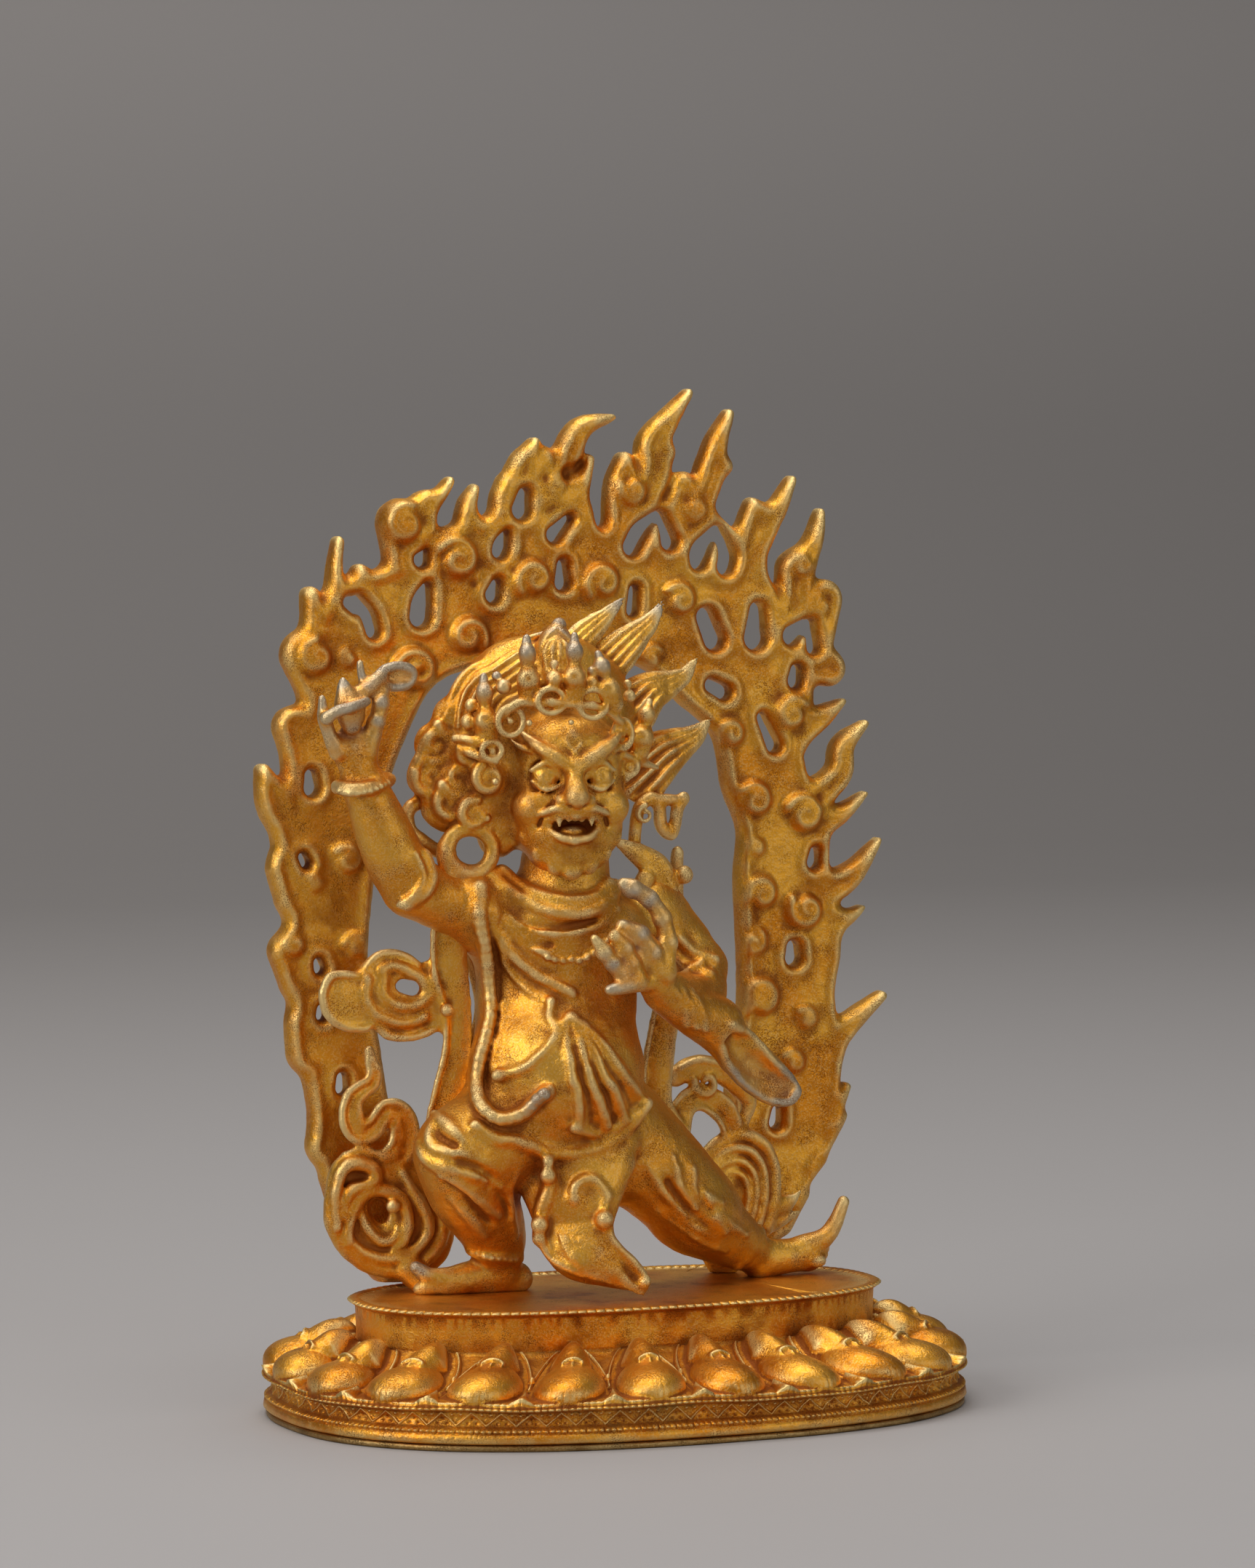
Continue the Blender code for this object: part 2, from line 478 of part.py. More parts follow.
def lick(*spine):
    """Outline of one tapering stroke. Each row of its spine is x, z and half its width there."""
    spine = np.array(spine, float)
    middle, half = spine[:, :2], spine[:, 2:]
    ahead = np.gradient(middle, axis=0)
    ahead /= np.linalg.norm(ahead, axis=1, keepdims=True)
    side = np.stack([ahead[:, 1], -ahead[:, 0]], axis=1)
    right, left = middle + half * side, middle - half * side
    caps = []
    for end, way in ((-1, 1), (0, -1)):
        if half[end, 0] > ROUND_END:
            reach = middle[end] + way * 0.75 * half[end] * ahead[end]
            share = 0.6 * half[end] * side[end] * way
            caps.append([reach + share, reach - share])
        else:
            caps.append([middle[end] + way * half[end] * ahead[end]])
    return [*right, *caps[0], *left[::-1], *caps[1]]


def boss(x, z, radius):
    """Outline of one round scroll boss."""
    turn = 2 * math.pi * np.arange(6) / 6
    return [(x + radius * math.cos(a), z + radius * math.sin(a)) for a in turn]


ROUND_END = 0.3
ARCH_OUTER = (
    (11.8, 6.92), (13.2, 9.2), (14.7, 11.8), (16.0, 14.4), (16.7, 18.4), (16.2, 22.0), (16.6, 25.0), (15.9, 28.6),
    (15.7, 32.0), (14.2, 35.9), (14.8, 40.2), (12.9, 44.6), (11.3, 47.2), (8.3, 50.2), (4.8, 50.4), (1.6, 49.0),
    (0.6, 50.6), (-2.6, 50.9), (-6.0, 49.4), (-8.2, 49.0), (-10.6, 47.2), (-13.6, 46.2), (-15.6, 44.2),
    (-16.2, 40.0), (-17.2, 36.4), (-18.0, 32.0), (-17.5, 27.8), (-17.2, 22.8), (-16.2, 17.6), (-15.3, 12.6),
    (-13.8, 9.0), (-11.6, 6.92),
)
ARCH_INNER = (
    (-8.2, 6.92), (-9.6, 10.5), (-11.0, 15.0), (-11.9, 20.1), (-12.6, 24.8), (-12.2, 29.6), (-11.6, 33.9),
    (-10.2, 37.6), (-8.4, 40.4), (-5.0, 41.4), (-0.6, 42.2), (4.0, 41.2), (6.6, 39.0), (8.6, 37.2), (9.3, 34.0),
    (10.2, 31.7), (10.0, 29.0), (10.2, 25.0), (10.2, 21.2), (9.4, 16.0), (9.9, 10.9), (10.2, 6.92),
)
# The flames, lobes and hooks round the edge: x, z and half width at each point of the spine
LICKS = (
    ((-14.6, 15.6, 1.1), (-15.2, 14.6, 0.9)), ((-16.2, 19.8, 1.0), (-16.4, 21.4, 0.9)),
    ((-16.8, 24.0, 0.9), (-17.3, 25.6, 1.0)), ((-17.0, 28.6, 0.9), (-17.3, 30.2, 1.1)),
    ((-17.2, 32.4, 0.9), (-18.0, 33.8, 0.95), (-18.7, 35.6, 0.35)), ((-16.6, 36.2, 0.8), (-16.9, 38.0, 1.1)),
    ((-15.6, 40.6, 1.2), (-16.2, 42.0, 1.35)), ((-15.6, 43.6, 0.7), (-15.9, 45.3, 0.45)),
    ((-14.2, 45.0, 0.7), (-14.45, 46.6, 0.36), (-14.25, 48.3, 0.25)), ((-13.0, 45.6, 0.5), (-13.0, 46.7, 0.3)),
    ((-10.4, 47.2, 1.0), (-10.5, 49.3, 1.35)), ((-9.3, 49.2, 0.8), (-9.1, 50.5, 0.55)),
    ((-9.1, 50.3, 0.45), (-8.3, 50.8, 0.34), (-7.6, 51.7, 0.2)),
    ((-6.4, 48.6, 0.8), (-6.55, 50.2, 0.5), (-6.1, 51.3, 0.2)),
    ((-4.4, 49.4, 0.7), (-4.5, 50.8, 0.5), (-4.3, 51.6, 0.35)),
    ((-3.2, 50.2, 1.0), (-3.3, 52.2, 0.85), (-2.5, 53.9, 0.25)), ((-2.2, 51.4, 0.9), (-1.9, 53.1, 0.45)),
    ((-0.9, 51.2, 0.7), (-0.4, 53.4, 0.75), (0.5, 54.8, 0.55), (2.3, 55.4, 0.15)),
    ((0.0, 50.4, 0.6), (0.9, 53.0, 0.2)),
    ((3.0, 48.8, 1.1), (2.9, 51.2, 1.0), (3.0, 52.9, 0.45)),
    ((3.9, 50.2, 0.8), (4.8, 52.3, 0.95), (4.9, 54.0, 0.85), (5.8, 55.3, 0.55), (7.0, 56.9, 0.2)),
    ((6.3, 49.6, 1.0), (6.6, 51.6, 0.65)),
    ((7.4, 50.0, 0.9), (8.4, 52.2, 0.75), (8.7, 53.8, 0.6), (9.6, 55.7, 0.2)),
    ((10.6, 47.0, 1.1), (11.2, 49.3, 0.95), (11.0, 50.4, 0.4)),
    ((11.4, 49.0, 0.9), (12.5, 50.1, 0.55), (13.5, 52.0, 0.2)),
    ((13.5, 43.8, 0.9), (13.7, 46.8, 0.95)), ((13.9, 46.6, 0.8), (14.9, 48.4, 0.5), (15.3, 50.1, 0.2)),
    ((15.0, 42.0, 0.9), (15.5, 45.0, 1.1)), ((14.6, 41.2, 1.0), (15.8, 41.0, 1.0)),
    ((13.8, 37.4, 1.0), (15.4, 38.2, 0.6), (16.8, 39.1, 0.12)),
    ((14.8, 33.4, 0.9), (16.5, 34.9, 0.75), (16.8, 36.5, 0.6), (18.2, 37.8, 0.15)),
    ((14.9, 31.9, 0.9), (16.6, 32.5, 0.5), (18.2, 33.7, 0.12)),
    ((15.0, 28.0, 1.1), (17.2, 28.9, 0.7), (19.1, 31.0, 0.12)),
    ((15.8, 26.2, 0.9), (17.2, 26.6, 0.38), (18.1, 27.1, 0.1)),
    ((15.6, 19.0, 1.0), (17.3, 20.4, 0.6), (19.3, 21.9, 0.25)),
    ((15.8, 15.2, 0.8), (17.1, 16.7, 0.15)), ((15.2, 13.4, 0.8), (16.8, 15.0, 0.15)),
    ((13.6, 11.2, 0.8), (15.4, 12.4, 0.15)), ((12.8, 9.0, 0.8), (14.3, 10.5, 0.2)),
)
# The teardrop piercings, as strokes of the same kind
PIERCINGS = (
    ((-16.0, 35.3, 0.4), (-15.95, 34.6, 0.5)), ((-13.3, 45.1, 0.42), (-12.4, 43.4, 0.5)),
    ((-9.15, 45.5, 0.35), (-9.5, 44.1, 0.6)), ((-9.25, 47.8, 0.35), (-9.5, 47.2, 0.5)),
    ((-4.5, 48.5, 0.4), (-4.8, 47.8, 0.52)), ((-4.9, 45.8, 0.4), (-5.1, 45.3, 0.5)),
    ((-3.2, 51.0, 0.4), (-3.4, 50.1, 0.58)), ((-0.6, 49.5, 0.32), (-1.5, 48.6, 0.5)),
    ((-0.9, 47.0, 0.35), (-0.9, 46.0, 0.5)), ((-0.7, 52.3, 0.35), (0.2, 51.5, 0.42)),
    ((5.2, 49.7, 0.4), (3.5, 48.1, 0.62)), ((5.35, 49.6, 0.4), (5.75, 48.3, 0.58)),
    ((8.7, 48.9, 0.35), (7.8, 47.4, 0.7)), ((8.95, 49.0, 0.4), (9.25, 47.1, 0.68)),
    ((7.9, 44.1, 0.65), (8.5, 42.7, 0.65)), ((11.2, 44.4, 0.42), (11.1, 42.8, 0.68)),
    ((14.3, 43.9, 0.4), (13.4, 42.8, 0.55)), ((14.4, 43.8, 0.4), (14.65, 42.3, 0.52)),
    ((13.7, 40.9, 0.42), (13.6, 40.3, 0.5)), ((8.3, 40.2, 0.42), (9.1, 39.7, 0.5)),
    ((3.5, 45.8, 0.32), (3.35, 44.4, 0.34)), ((11.5, 38.2, 0.35), (12.25, 36.6, 0.48)),
    ((14.9, 30.4, 0.36), (14.8, 29.8, 0.46)), ((13.5, 24.9, 0.45), (13.5, 24.3, 0.55)),
    ((12.5, 15.5, 0.35), (12.4, 14.8, 0.45)), ((-16.5, 30.8, 0.3), (-16.3, 30.4, 0.32)),
    ((-15.6, 24.9, 0.3), (-15.5, 24.5, 0.36)), ((-15.4, 22.3, 0.3), (-15.4, 21.9, 0.36)),
    ((-14.2, 18.4, 0.35), (-14.2, 17.8, 0.42)),
)
# The larger scroll bosses: middle x and z, radius
BOSSES = (
    (-10.4, 49.3, 1.2), (-7.5, 47.3, 1.3), (-2.9, 46.4, 1.2), (-6.8, 42.8, 1.2), (-15.8, 41.8, 1.1),
    (1.4, 46.2, 1.1), (3.4, 51.2, 0.9), (13.2, 38.5, 1.0), (10.8, 33.6, 1.0), (14.0, 32.7, 1.2),
    (11.4, 28.0, 1.0), (14.0, 27.0, 1.1), (11.4, 22.1, 1.1), (-14.0, 30.6, 1.0),
)


def helper(name, outlines, front, back):
    """A hidden plate, or set of plates, that a Boolean reads."""
    made = add_object(name, *slab(outlines, front, back))
    made.hide_render = True
    made.display_type = "WIRE"
    return made


def flame_aureole(material):
    """The flat arch with its flames, scroll bosses and teardrop piercings."""
    back = ARCH_FRONT + ARCH_THICKNESS
    arch = add_object("flame_aureole", *slab([ARCH_OUTER + ARCH_INNER], ARCH_FRONT, back), material)
    # The flames are a touch thinner than the arch, so that no two faces coincide
    parts = (
        ("arch_flames", "UNION", [lick(*s) for s in LICKS], ARCH_FRONT + 0.04, back - 0.04),
        ("arch_bosses", "UNION", [boss(*s) for s in BOSSES], ARCH_FRONT - SCROLL_HEIGHT, ARCH_FRONT + 0.4),
        ("arch_piercings", "DIFFERENCE", [lick(*s) for s in PIERCINGS], ARCH_FRONT - 1, back + 1),
    )
    for name, operation, outlines, front, rear in parts:
        cut = arch.modifiers.new(name, "BOOLEAN")
        cut.operation = operation
        cut.solver = "EXACT"
        cut.use_self = True
        cut.object = helper(name, outlines, front, rear)
    return arch


def main():
    clear_scene()
    gold = gilt("fire_gilding", (0.80, 0.47, 0.13), 0.38)
    worn = gilt("worn_gilding", (0.66, 0.36, 0.11), 0.45)
    sheet = gilt("copper_sheet", (0.52, 0.38, 0.20), 0.5)
    lotus_base(worn)
    base_plate(sheet)
    figure(gold)
    flame_aureole(gold)


main()
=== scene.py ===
"""Finish and fine relief of a gilt cast statuette: a guardian on a lotus base, in an arch of flames.

Everything is laid out in millimetres and brought to metres in the meshes. +X is to the viewer's
right, -Y towards the viewer and +Z up. The castings are worked as wax: a grid of signed distances,
to which rods, balls and plates are joined with soft fillets. The base is a surface of two
parameters, round its oval and up its profile.
"""

from __future__ import annotations

import logging
import math
from collections.abc import Sequence
from dataclasses import dataclass, field
from enum import Enum
from functools import partial

import bpy
import numpy as np
from numpy.typing import NDArray
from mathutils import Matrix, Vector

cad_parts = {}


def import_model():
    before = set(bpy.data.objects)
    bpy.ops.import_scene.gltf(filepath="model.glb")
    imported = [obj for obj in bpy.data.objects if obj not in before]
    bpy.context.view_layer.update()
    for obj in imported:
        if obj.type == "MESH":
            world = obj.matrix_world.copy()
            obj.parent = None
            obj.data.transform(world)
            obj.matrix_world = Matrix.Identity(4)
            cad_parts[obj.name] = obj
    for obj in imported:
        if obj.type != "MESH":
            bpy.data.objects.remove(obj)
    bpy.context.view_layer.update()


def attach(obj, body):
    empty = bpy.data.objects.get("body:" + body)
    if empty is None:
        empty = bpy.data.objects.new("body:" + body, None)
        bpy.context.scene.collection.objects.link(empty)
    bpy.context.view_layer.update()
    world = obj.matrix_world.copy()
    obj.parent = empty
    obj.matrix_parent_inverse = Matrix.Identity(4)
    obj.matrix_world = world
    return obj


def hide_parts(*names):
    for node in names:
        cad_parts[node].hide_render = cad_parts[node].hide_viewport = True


LOG = logging.getLogger("statuette")
Array = NDArray[np.float32]
Row = Sequence[float]

TO_METRES = 0.001
FAR = 2.0
MOST_TRIANGLES = 195_000
# Depth of the unevenness of a casting, and the reaches that tell its edges and its hollows, which the finish
# gives a painted highlight and painted shade
CAST_GRAIN = 0.014
HEAD_GRAIN = 0.010
EDGE_REACH = 0.3
HOLLOW_REACH = 1.3
# Share of a blurred copy in the wax before it is turned into a mesh
SMOOTHING = 0.6


# Curves and fields


def through(rows: Array, steps: int) -> Array:
    """A Catmull-Rom curve through the rows.

    Each stretch is the cubic that leaves a row along the chord of its neighbours and meets the
    next one in the same way.

    Args:
        rows: points, with any further columns carried along.
        steps: points to each stretch.

    Returns:
        The rows of the finer curve.
    """
    rows = np.asarray(rows, np.float32)
    ends = np.concatenate([[2 * rows[0] - rows[1]], rows, [2 * rows[-1] - rows[-2]]])
    share = np.linspace(0, 1, steps, endpoint=False)[None, :, None]
    a, b, c, d = (ends[k:len(ends) - 3 + k, None] for k in range(4))
    curve = 0.5 * (2 * b + (c - a) * share + (2 * a - 5 * b + 4 * c - d) * share**2
                   + (3 * b - a - 3 * c + d) * share**3)
    return np.concatenate([curve.reshape(-1, rows.shape[1]), rows[-1:]]).astype(np.float32)


def soft_join(first: Array, second: Array, blend: float) -> Array:
    """The lesser of two distances, with a fillet of this radius where they are alike."""
    near = np.maximum(blend - np.abs(first - second), 0) / blend
    return np.minimum(first, second) - near * near * blend / 4


def blurred(values: Array, radius: int, axes: Sequence[int], wrap: bool = False) -> Array:
    """The values after three running means of this radius along each axis, close to a Gaussian.

    Args:
        values: grid of numbers.
        radius: half width of each mean, in cells.
        axes: axes to blur along.
        wrap: joins the first axis to its own end.

    Returns:
        The blurred grid.
    """
    out = values.astype(np.float32)
    width = 2 * radius + 1
    for axis in axes:
        for _ in range(3):
            pad = [(0, 0)] * out.ndim
            pad[axis] = (radius + 1, radius)
            mode = "wrap" if wrap and axis == 0 else "edge"
            total = np.cumsum(np.pad(out, pad, mode=mode), axis=axis, dtype=np.float64)
            upper = np.take(total, np.arange(width, total.shape[axis]), axis=axis)
            lower = np.take(total, np.arange(0, total.shape[axis] - width), axis=axis)
            out = ((upper - lower) / width).astype(np.float32)
    return out


@dataclass
class Wax:
    """Casting wax on a grid, where each cell holds its distance to the surface, less than 0 inside.

    Args:
        low: lowest corner, in millimetres.
        high: highest corner, in millimetres.
        pitch: cell size.
    """

    low: Row
    high: Row
    pitch: float = 0.12
    axes: list[Array] = field(init=False)
    distance: Array = field(init=False)

    def __post_init__(self) -> None:
        """Lays out the empty grid."""
        self.axes = [np.arange(a, b + self.pitch, self.pitch, dtype=np.float32)
                     for a, b in zip(self.low, self.high)]
        self.distance = np.full([len(a) for a in self.axes], FAR, np.float32)

    def window(self, low: Array, high: Array) -> tuple[tuple[slice, ...], list[Array]]:
        """The part of the grid between two corners, with its open coordinates."""
        where, grid = [], []
        for k in range(3):
            first, last = np.searchsorted(self.axes[k], [low[k], high[k]])
            where.append(slice(max(int(first) - 1, 0), int(last) + 1))
            shape = [1, 1, 1]
            shape[k] = -1
            grid.append(self.axes[k][where[k]].reshape(shape))
        return tuple(where), grid

    def join(self, where: tuple[slice, ...], form: Array, blend: float, press: bool) -> None:
        """Joins a form to the wax with a fillet, or presses its shape into it."""
        old = self.distance[where]
        if press:
            self.distance[where] = -soft_join(-old, form, blend)
        else:
            self.distance[where] = soft_join(old, form, blend)

    def ball(self, middle: Row, radii: Row | float, lean: float = 0.0, turn: float = 0.0,
             blend: float = 0.3, press: bool = False) -> None:
        """An ellipsoid. Its distance is k(k - 1) / l, with k and l the lengths of p/r and p/r^2.

        Args:
            middle: centre.
            radii: half sizes along X, Y and Z before it is turned.
            lean: turn about Y, in degrees.
            turn: turn about Z after that, in degrees.
            blend: radius of the fillet.
            press: carves instead of adding.
        """
        radii = np.broadcast_to(np.asarray(radii, np.float32), 3)
        a, b = math.radians(lean), math.radians(turn)
        about_y = np.array([[math.cos(a), 0, math.sin(a)], [0, 1, 0], [-math.sin(a), 0, math.cos(a)]])
        about_z = np.array([[math.cos(b), -math.sin(b), 0], [math.sin(b), math.cos(b), 0], [0, 0, 1]])
        frame = (about_z @ about_y).astype(np.float32)
        middle = np.asarray(middle, np.float32)
        reach = np.sqrt((frame**2) @ (radii**2)) + blend + 2 * self.pitch
        where, (x, y, z) = self.window(middle - reach, middle + reach)
        x, y, z = x - middle[0], y - middle[1], z - middle[2]
        first = second = np.float32(0)
        for k in range(3):
            along = x * frame[0, k] + y * frame[1, k] + z * frame[2, k]
            first = first + (along / radii[k]) ** 2
            second = second + (along / radii[k] ** 2) ** 2
        size = np.sqrt(first)
        self.join(where, size * (size - 1) / np.sqrt(second + 1e-9), blend, press)

    def rod(self, rows: Sequence[Row], flat: float = 1.0, face: Row = (0, -1, 0), blend: float = 0.3,
            press: bool = False, strands: int = 0, groove: float = 0.0, steps: int = 5) -> None:
        """A bar along a smooth route, round or flattened, plain or grooved like a lock of hair.

        Each short stretch is a capsule whose cross-section is an ellipse. Strands press cosine
        furrows into its broad side, parallel to the route.

        Args:
            rows: x, y, z and half width at each point of the route.
            flat: thickness towards face, as a share of the width.
            face: direction that the flattened side looks in.
            blend: radius of the fillet.
            press: carves instead of adding.
            strands: furrows across the width.
            groove: depth of the furrows, as a share of the thickness.
            steps: stretches between two points of the route.
        """
        curve = through(np.asarray(rows, np.float32), steps)
        path, radius = curve[:, :3], np.maximum(curve[:, 3], 0.04)
        margin = blend + 2 * self.pitch
        reach = radius.max() + margin + self.pitch
        where, _ = self.window(path.min(0) - reach, path.max(0) + reach)
        nearest = np.full([part.stop - part.start for part in where], FAR, np.float32)
        nearest = nearest[tuple(slice(0, max(min(p.stop, len(a)) - p.start, 0))
                                for p, a in zip(where, self.axes))]
        face = np.asarray(face, np.float32)
        for a, b, ra, rb in zip(path, path[1:], radius, radius[1:]):
            span = np.linalg.norm(b - a)
            if span < 1e-5:
                continue
            ahead = (b - a) / span
            side = np.cross(ahead, face)
            side /= max(np.linalg.norm(side), 1e-6)
            out = np.cross(side, ahead)
            room = max(ra, rb) + margin
            part, (x, y, z) = self.window(np.minimum(a, b) - room, np.maximum(a, b) + room)
            x, y, z = x - a[0], y - a[1], z - a[2]
            run = x * ahead[0] + y * ahead[1] + z * ahead[2]
            share = np.clip(run / span, 0, 1)
            half = ra + share * (rb - ra)
            over = run - share * span
            wide = x * side[0] + y * side[1] + z * side[2]
            deep = x * out[0] + y * out[1] + z * out[2]
            if flat == 1.0 and not strands:
                form = np.sqrt(over * over + wide * wide + deep * deep) - half
            else:
                thin = half * flat
                if strands:
                    wave = 0.5 - 0.5 * np.cos(2 * math.pi * strands * (wide / (2 * half) + 0.5))
                    thin = thin * (1 - groove * wave)
                first = np.sqrt((over / half) ** 2 + (wide / half) ** 2 + (deep / thin) ** 2)
                second = np.sqrt((over / half**2) ** 2 + (wide / half**2) ** 2 + (deep / thin**2) ** 2)
                form = first * (first - 1) / (second + 1e-6)
            inner = tuple(slice(p.start - w.start, p.start - w.start + s)
                          for p, w, s in zip(part, where, form.shape))
            nearest[inner] = np.minimum(nearest[inner], form)
        whole = tuple(slice(w.start, w.start + s) for w, s in zip(where, nearest.shape))
        self.join(whole, nearest, blend, press)

    def beads(self, rows: Sequence[Row], pitch: float, blend: float = 0.08) -> None:
        """Round beads at an even pitch along a smooth route of x, y, z and radius."""
        curve = through(np.asarray(rows, np.float32), 12)
        run = np.concatenate([[0], np.cumsum(np.linalg.norm(np.diff(curve[:, :3], axis=0), axis=1))])
        for at in np.arange(0, run[-1] + 1e-6, pitch):
            x, y, z, radius = (np.interp(at, run, curve[:, k]) for k in range(4))
            self.ball((x, y, z), radius, blend=blend)

    def ring(self, middle: Row, radius: float, thickness: float, normal: Row = (0, -1, 0),
             squash: float = 1.0, arc: float = 360.0, start: float = 0.0, **form: object) -> None:
        """A round bar bent to a circle or an arc about normal."""
        axis = np.asarray(normal, np.float32) / np.linalg.norm(normal)
        right = np.cross(axis, (0, 0, 1))
        length = np.linalg.norm(right)
        right = np.array((1, 0, 0)) if length < 0.1 else right / length
        upward = np.cross(right, axis)
        turn = np.radians(start + arc * np.arange(17) / 16)[:, None]
        route = np.asarray(middle) + radius * (np.cos(turn) * right + squash * np.sin(turn) * upward)
        self.rod(np.hstack([route, np.full((17, 1), thickness)]), face=tuple(axis), steps=2, **form)

    def roughen(self, depth: float, cells: int = 2) -> None:
        """Makes the surface a little uneven, as a cast one is, by noise blurred over these cells."""
        noise = np.random.default_rng(7).standard_normal(self.distance.shape, dtype=np.float32)
        noise = blurred(noise, cells, (0, 1, 2))
        self.distance += noise * np.float32(depth / noise.std())

    def trim(self, level: float) -> None:
        """Cuts the wax off flat below this level."""
        self.distance = np.maximum(self.distance, level - self.axes[2])

    def surface(self) -> tuple[Array, NDArray[np.int32]]:
        """The surface between wax and air, by surface nets.

        A cell that the surface crosses gets one point, the mean of where its edges are cut. Each
        cut edge of the grid gives one face, through the points of the four cells around it.

        Returns:
            The points in millimetres, and four point numbers to each face.
        """
        inside = self.distance < 0
        corners = np.zeros([n - 1 for n in inside.shape], np.uint8)
        for i in (0, 1):
            for j in (0, 1):
                for k in (0, 1):
                    corners += inside[i:i - 1 or None, j:j - 1 or None, k:k - 1 or None]
        active = (corners > 0) & (corners < 8)
        cells = np.argwhere(active)
        number = np.full(active.shape, -1, np.int32)
        number[active] = np.arange(len(cells), dtype=np.int32)
        total = np.zeros((len(cells), 3), np.float32)
        count = np.zeros(len(cells), np.float32)
        for axis in range(3):
            step = np.eye(3, dtype=int)[axis]
            others = [k for k in range(3) if k != axis]
            for u in (0, 1):
                for v in (0, 1):
                    corner = np.zeros(3, int)
                    corner[others] = u, v
                    first = self.distance[tuple((cells + corner).T)]
                    second = self.distance[tuple((cells + corner + step).T)]
                    cut = (first < 0) != (second < 0)
                    share = np.where(cut, first / np.where(cut, first - second, 1), 0)
                    total += cut[:, None] * (corner + share[:, None] * step)
                    count += cut
        points = (cells + total / count[:, None]) * self.pitch + np.array(self.low)
        faces = []
        for axis in range(3):
            u, v = (axis + 1) % 3, (axis + 2) % 3
            lower, upper = [slice(1, -1)] * 3, [slice(1, -1)] * 3
            lower[axis], upper[axis] = slice(0, -1), slice(1, None)
            cut = inside[tuple(lower)] != inside[tuple(upper)]
            at = np.argwhere(cut)
            at[:, [k for k in range(3) if k != axis]] += 1
            leaves = inside[tuple(at.T)]
            quad = []
            for du, dv in ((1, 1), (0, 1), (0, 0), (1, 0)):
                cell = at.copy()
                cell[:, u] -= du
                cell[:, v] -= dv
                quad.append(number[tuple(cell.T)])
            quad = np.stack(quad, axis=1)
            quad[~leaves] = quad[~leaves][:, ::-1]
            faces.append(quad)
        return points.astype(np.float32), np.concatenate(faces).astype(np.int32)

    def sample(self, values: Array, points: Array) -> Array:
        """Values of a grid like this one at points in millimetres, by the eight nearest cells."""
        place = (points - np.array(self.low, np.float32)) / self.pitch
        place = np.clip(place, 0, np.array(values.shape) - 1.001)
        base = np.floor(place).astype(int)
        share = place - base
        out = np.zeros(len(points), np.float32)
        for i in (0, 1):
            for j in (0, 1):
                for k in (0, 1):
                    corner = np.array((i, j, k))
                    weight = np.prod(np.where(corner, share, 1 - share), axis=1)
                    out += weight * values[tuple((base + corner).T)]
        return out

    def standing_out(self, points: Array, radius: float) -> Array:
        """How far each point stands out: the share of air within this radius, less a half."""
        solid = np.clip(0.5 - self.distance / (2 * self.pitch), 0, 1)
        cells = max(1, round(radius / self.pitch / 1.7))
        return 0.5 - self.sample(blurred(solid, cells, (0, 1, 2)), points)


# Meshes


def add_piece(name: str, points: Array, faces: NDArray[np.int32]) -> bpy.types.Object:
    """An object at the origin, whose mesh is in metres, made from points in millimetres.

    Args:
        name: piece name.
        points: corners.
        faces: four point numbers to each face.

    Returns:
        The new object, shaded smooth.
    """
    mesh = bpy.data.meshes.new(name)
    sides = faces.shape[1]
    mesh.vertices.add(len(points))
    mesh.vertices.foreach_set("co", (points * TO_METRES).astype(np.float32).ravel())
    mesh.loops.add(faces.size)
    mesh.loops.foreach_set("vertex_index", faces.ravel())
    mesh.polygons.add(len(faces))
    mesh.polygons.foreach_set("loop_start", np.arange(0, faces.size, sides, dtype=np.int32))
    mesh.polygons.foreach_set("loop_total", np.full(len(faces), sides, np.int32))
    mesh.update(calc_edges=True)
    mesh.validate()
    mesh.shade_smooth()
    piece = bpy.data.objects.new(name, mesh)
    bpy.context.scene.collection.objects.link(piece)
    return piece


def carried_round(name: str, points: Array, low: float, high: float) -> bpy.types.Object:
    """A piece from closed rings, with a fan to a middle point at each end.

    Args:
        name: piece name.
        points: places, by their number round the ring and then by ring from the lowest up.
        low: height of the middle point below.
        high: height of the middle point above.

    Returns:
        The new object.
    """
    count, rings = points.shape[:2]
    body = np.concatenate([points.reshape(-1, 3), [[0, 0, high], [0, 0, low]]])
    i = np.arange(count)[:, None] * rings
    j = np.roll(i, -1)
    k = np.arange(rings - 1)[None]
    quads = np.stack([i + k, j + k, j + k + 1, i + k + 1], axis=-1).reshape(-1, 4)
    middle = np.full_like(i, count * rings)
    crown = np.hstack([i + rings - 1, j + rings - 1, middle])
    under = np.hstack([j, i, middle + 1])
    faces = np.concatenate([quads[:, [0, 1, 2]], quads[:, [0, 2, 3]], crown, under])
    return add_piece(name, body, faces.astype(np.int32))


def thinned(piece: bpy.types.Object, triangles: int = MOST_TRIANGLES) -> None:
    """Thins the piece's mesh to this many triangles, most where it is flat."""
    piece.data.calc_loop_triangles()
    ratio = triangles / len(piece.data.loop_triangles)
    if ratio < 1:
        thin = piece.modifiers.new("thin", "DECIMATE")
        thin.ratio = ratio
        graph = bpy.context.evaluated_depsgraph_get()
        mesh = bpy.data.meshes.new_from_object(piece.evaluated_get(graph))
        piece.modifiers.clear()
        old, piece.data = piece.data, mesh
        bpy.data.meshes.remove(old)
        mesh.name = piece.name
        mesh.shade_smooth()


def corners_of(piece: bpy.types.Object) -> Array:
    """The piece's points, in millimetres."""
    flat = np.empty(len(piece.data.vertices) * 3, np.float32)
    piece.data.vertices.foreach_get("co", flat)
    return flat.reshape(-1, 3) / TO_METRES


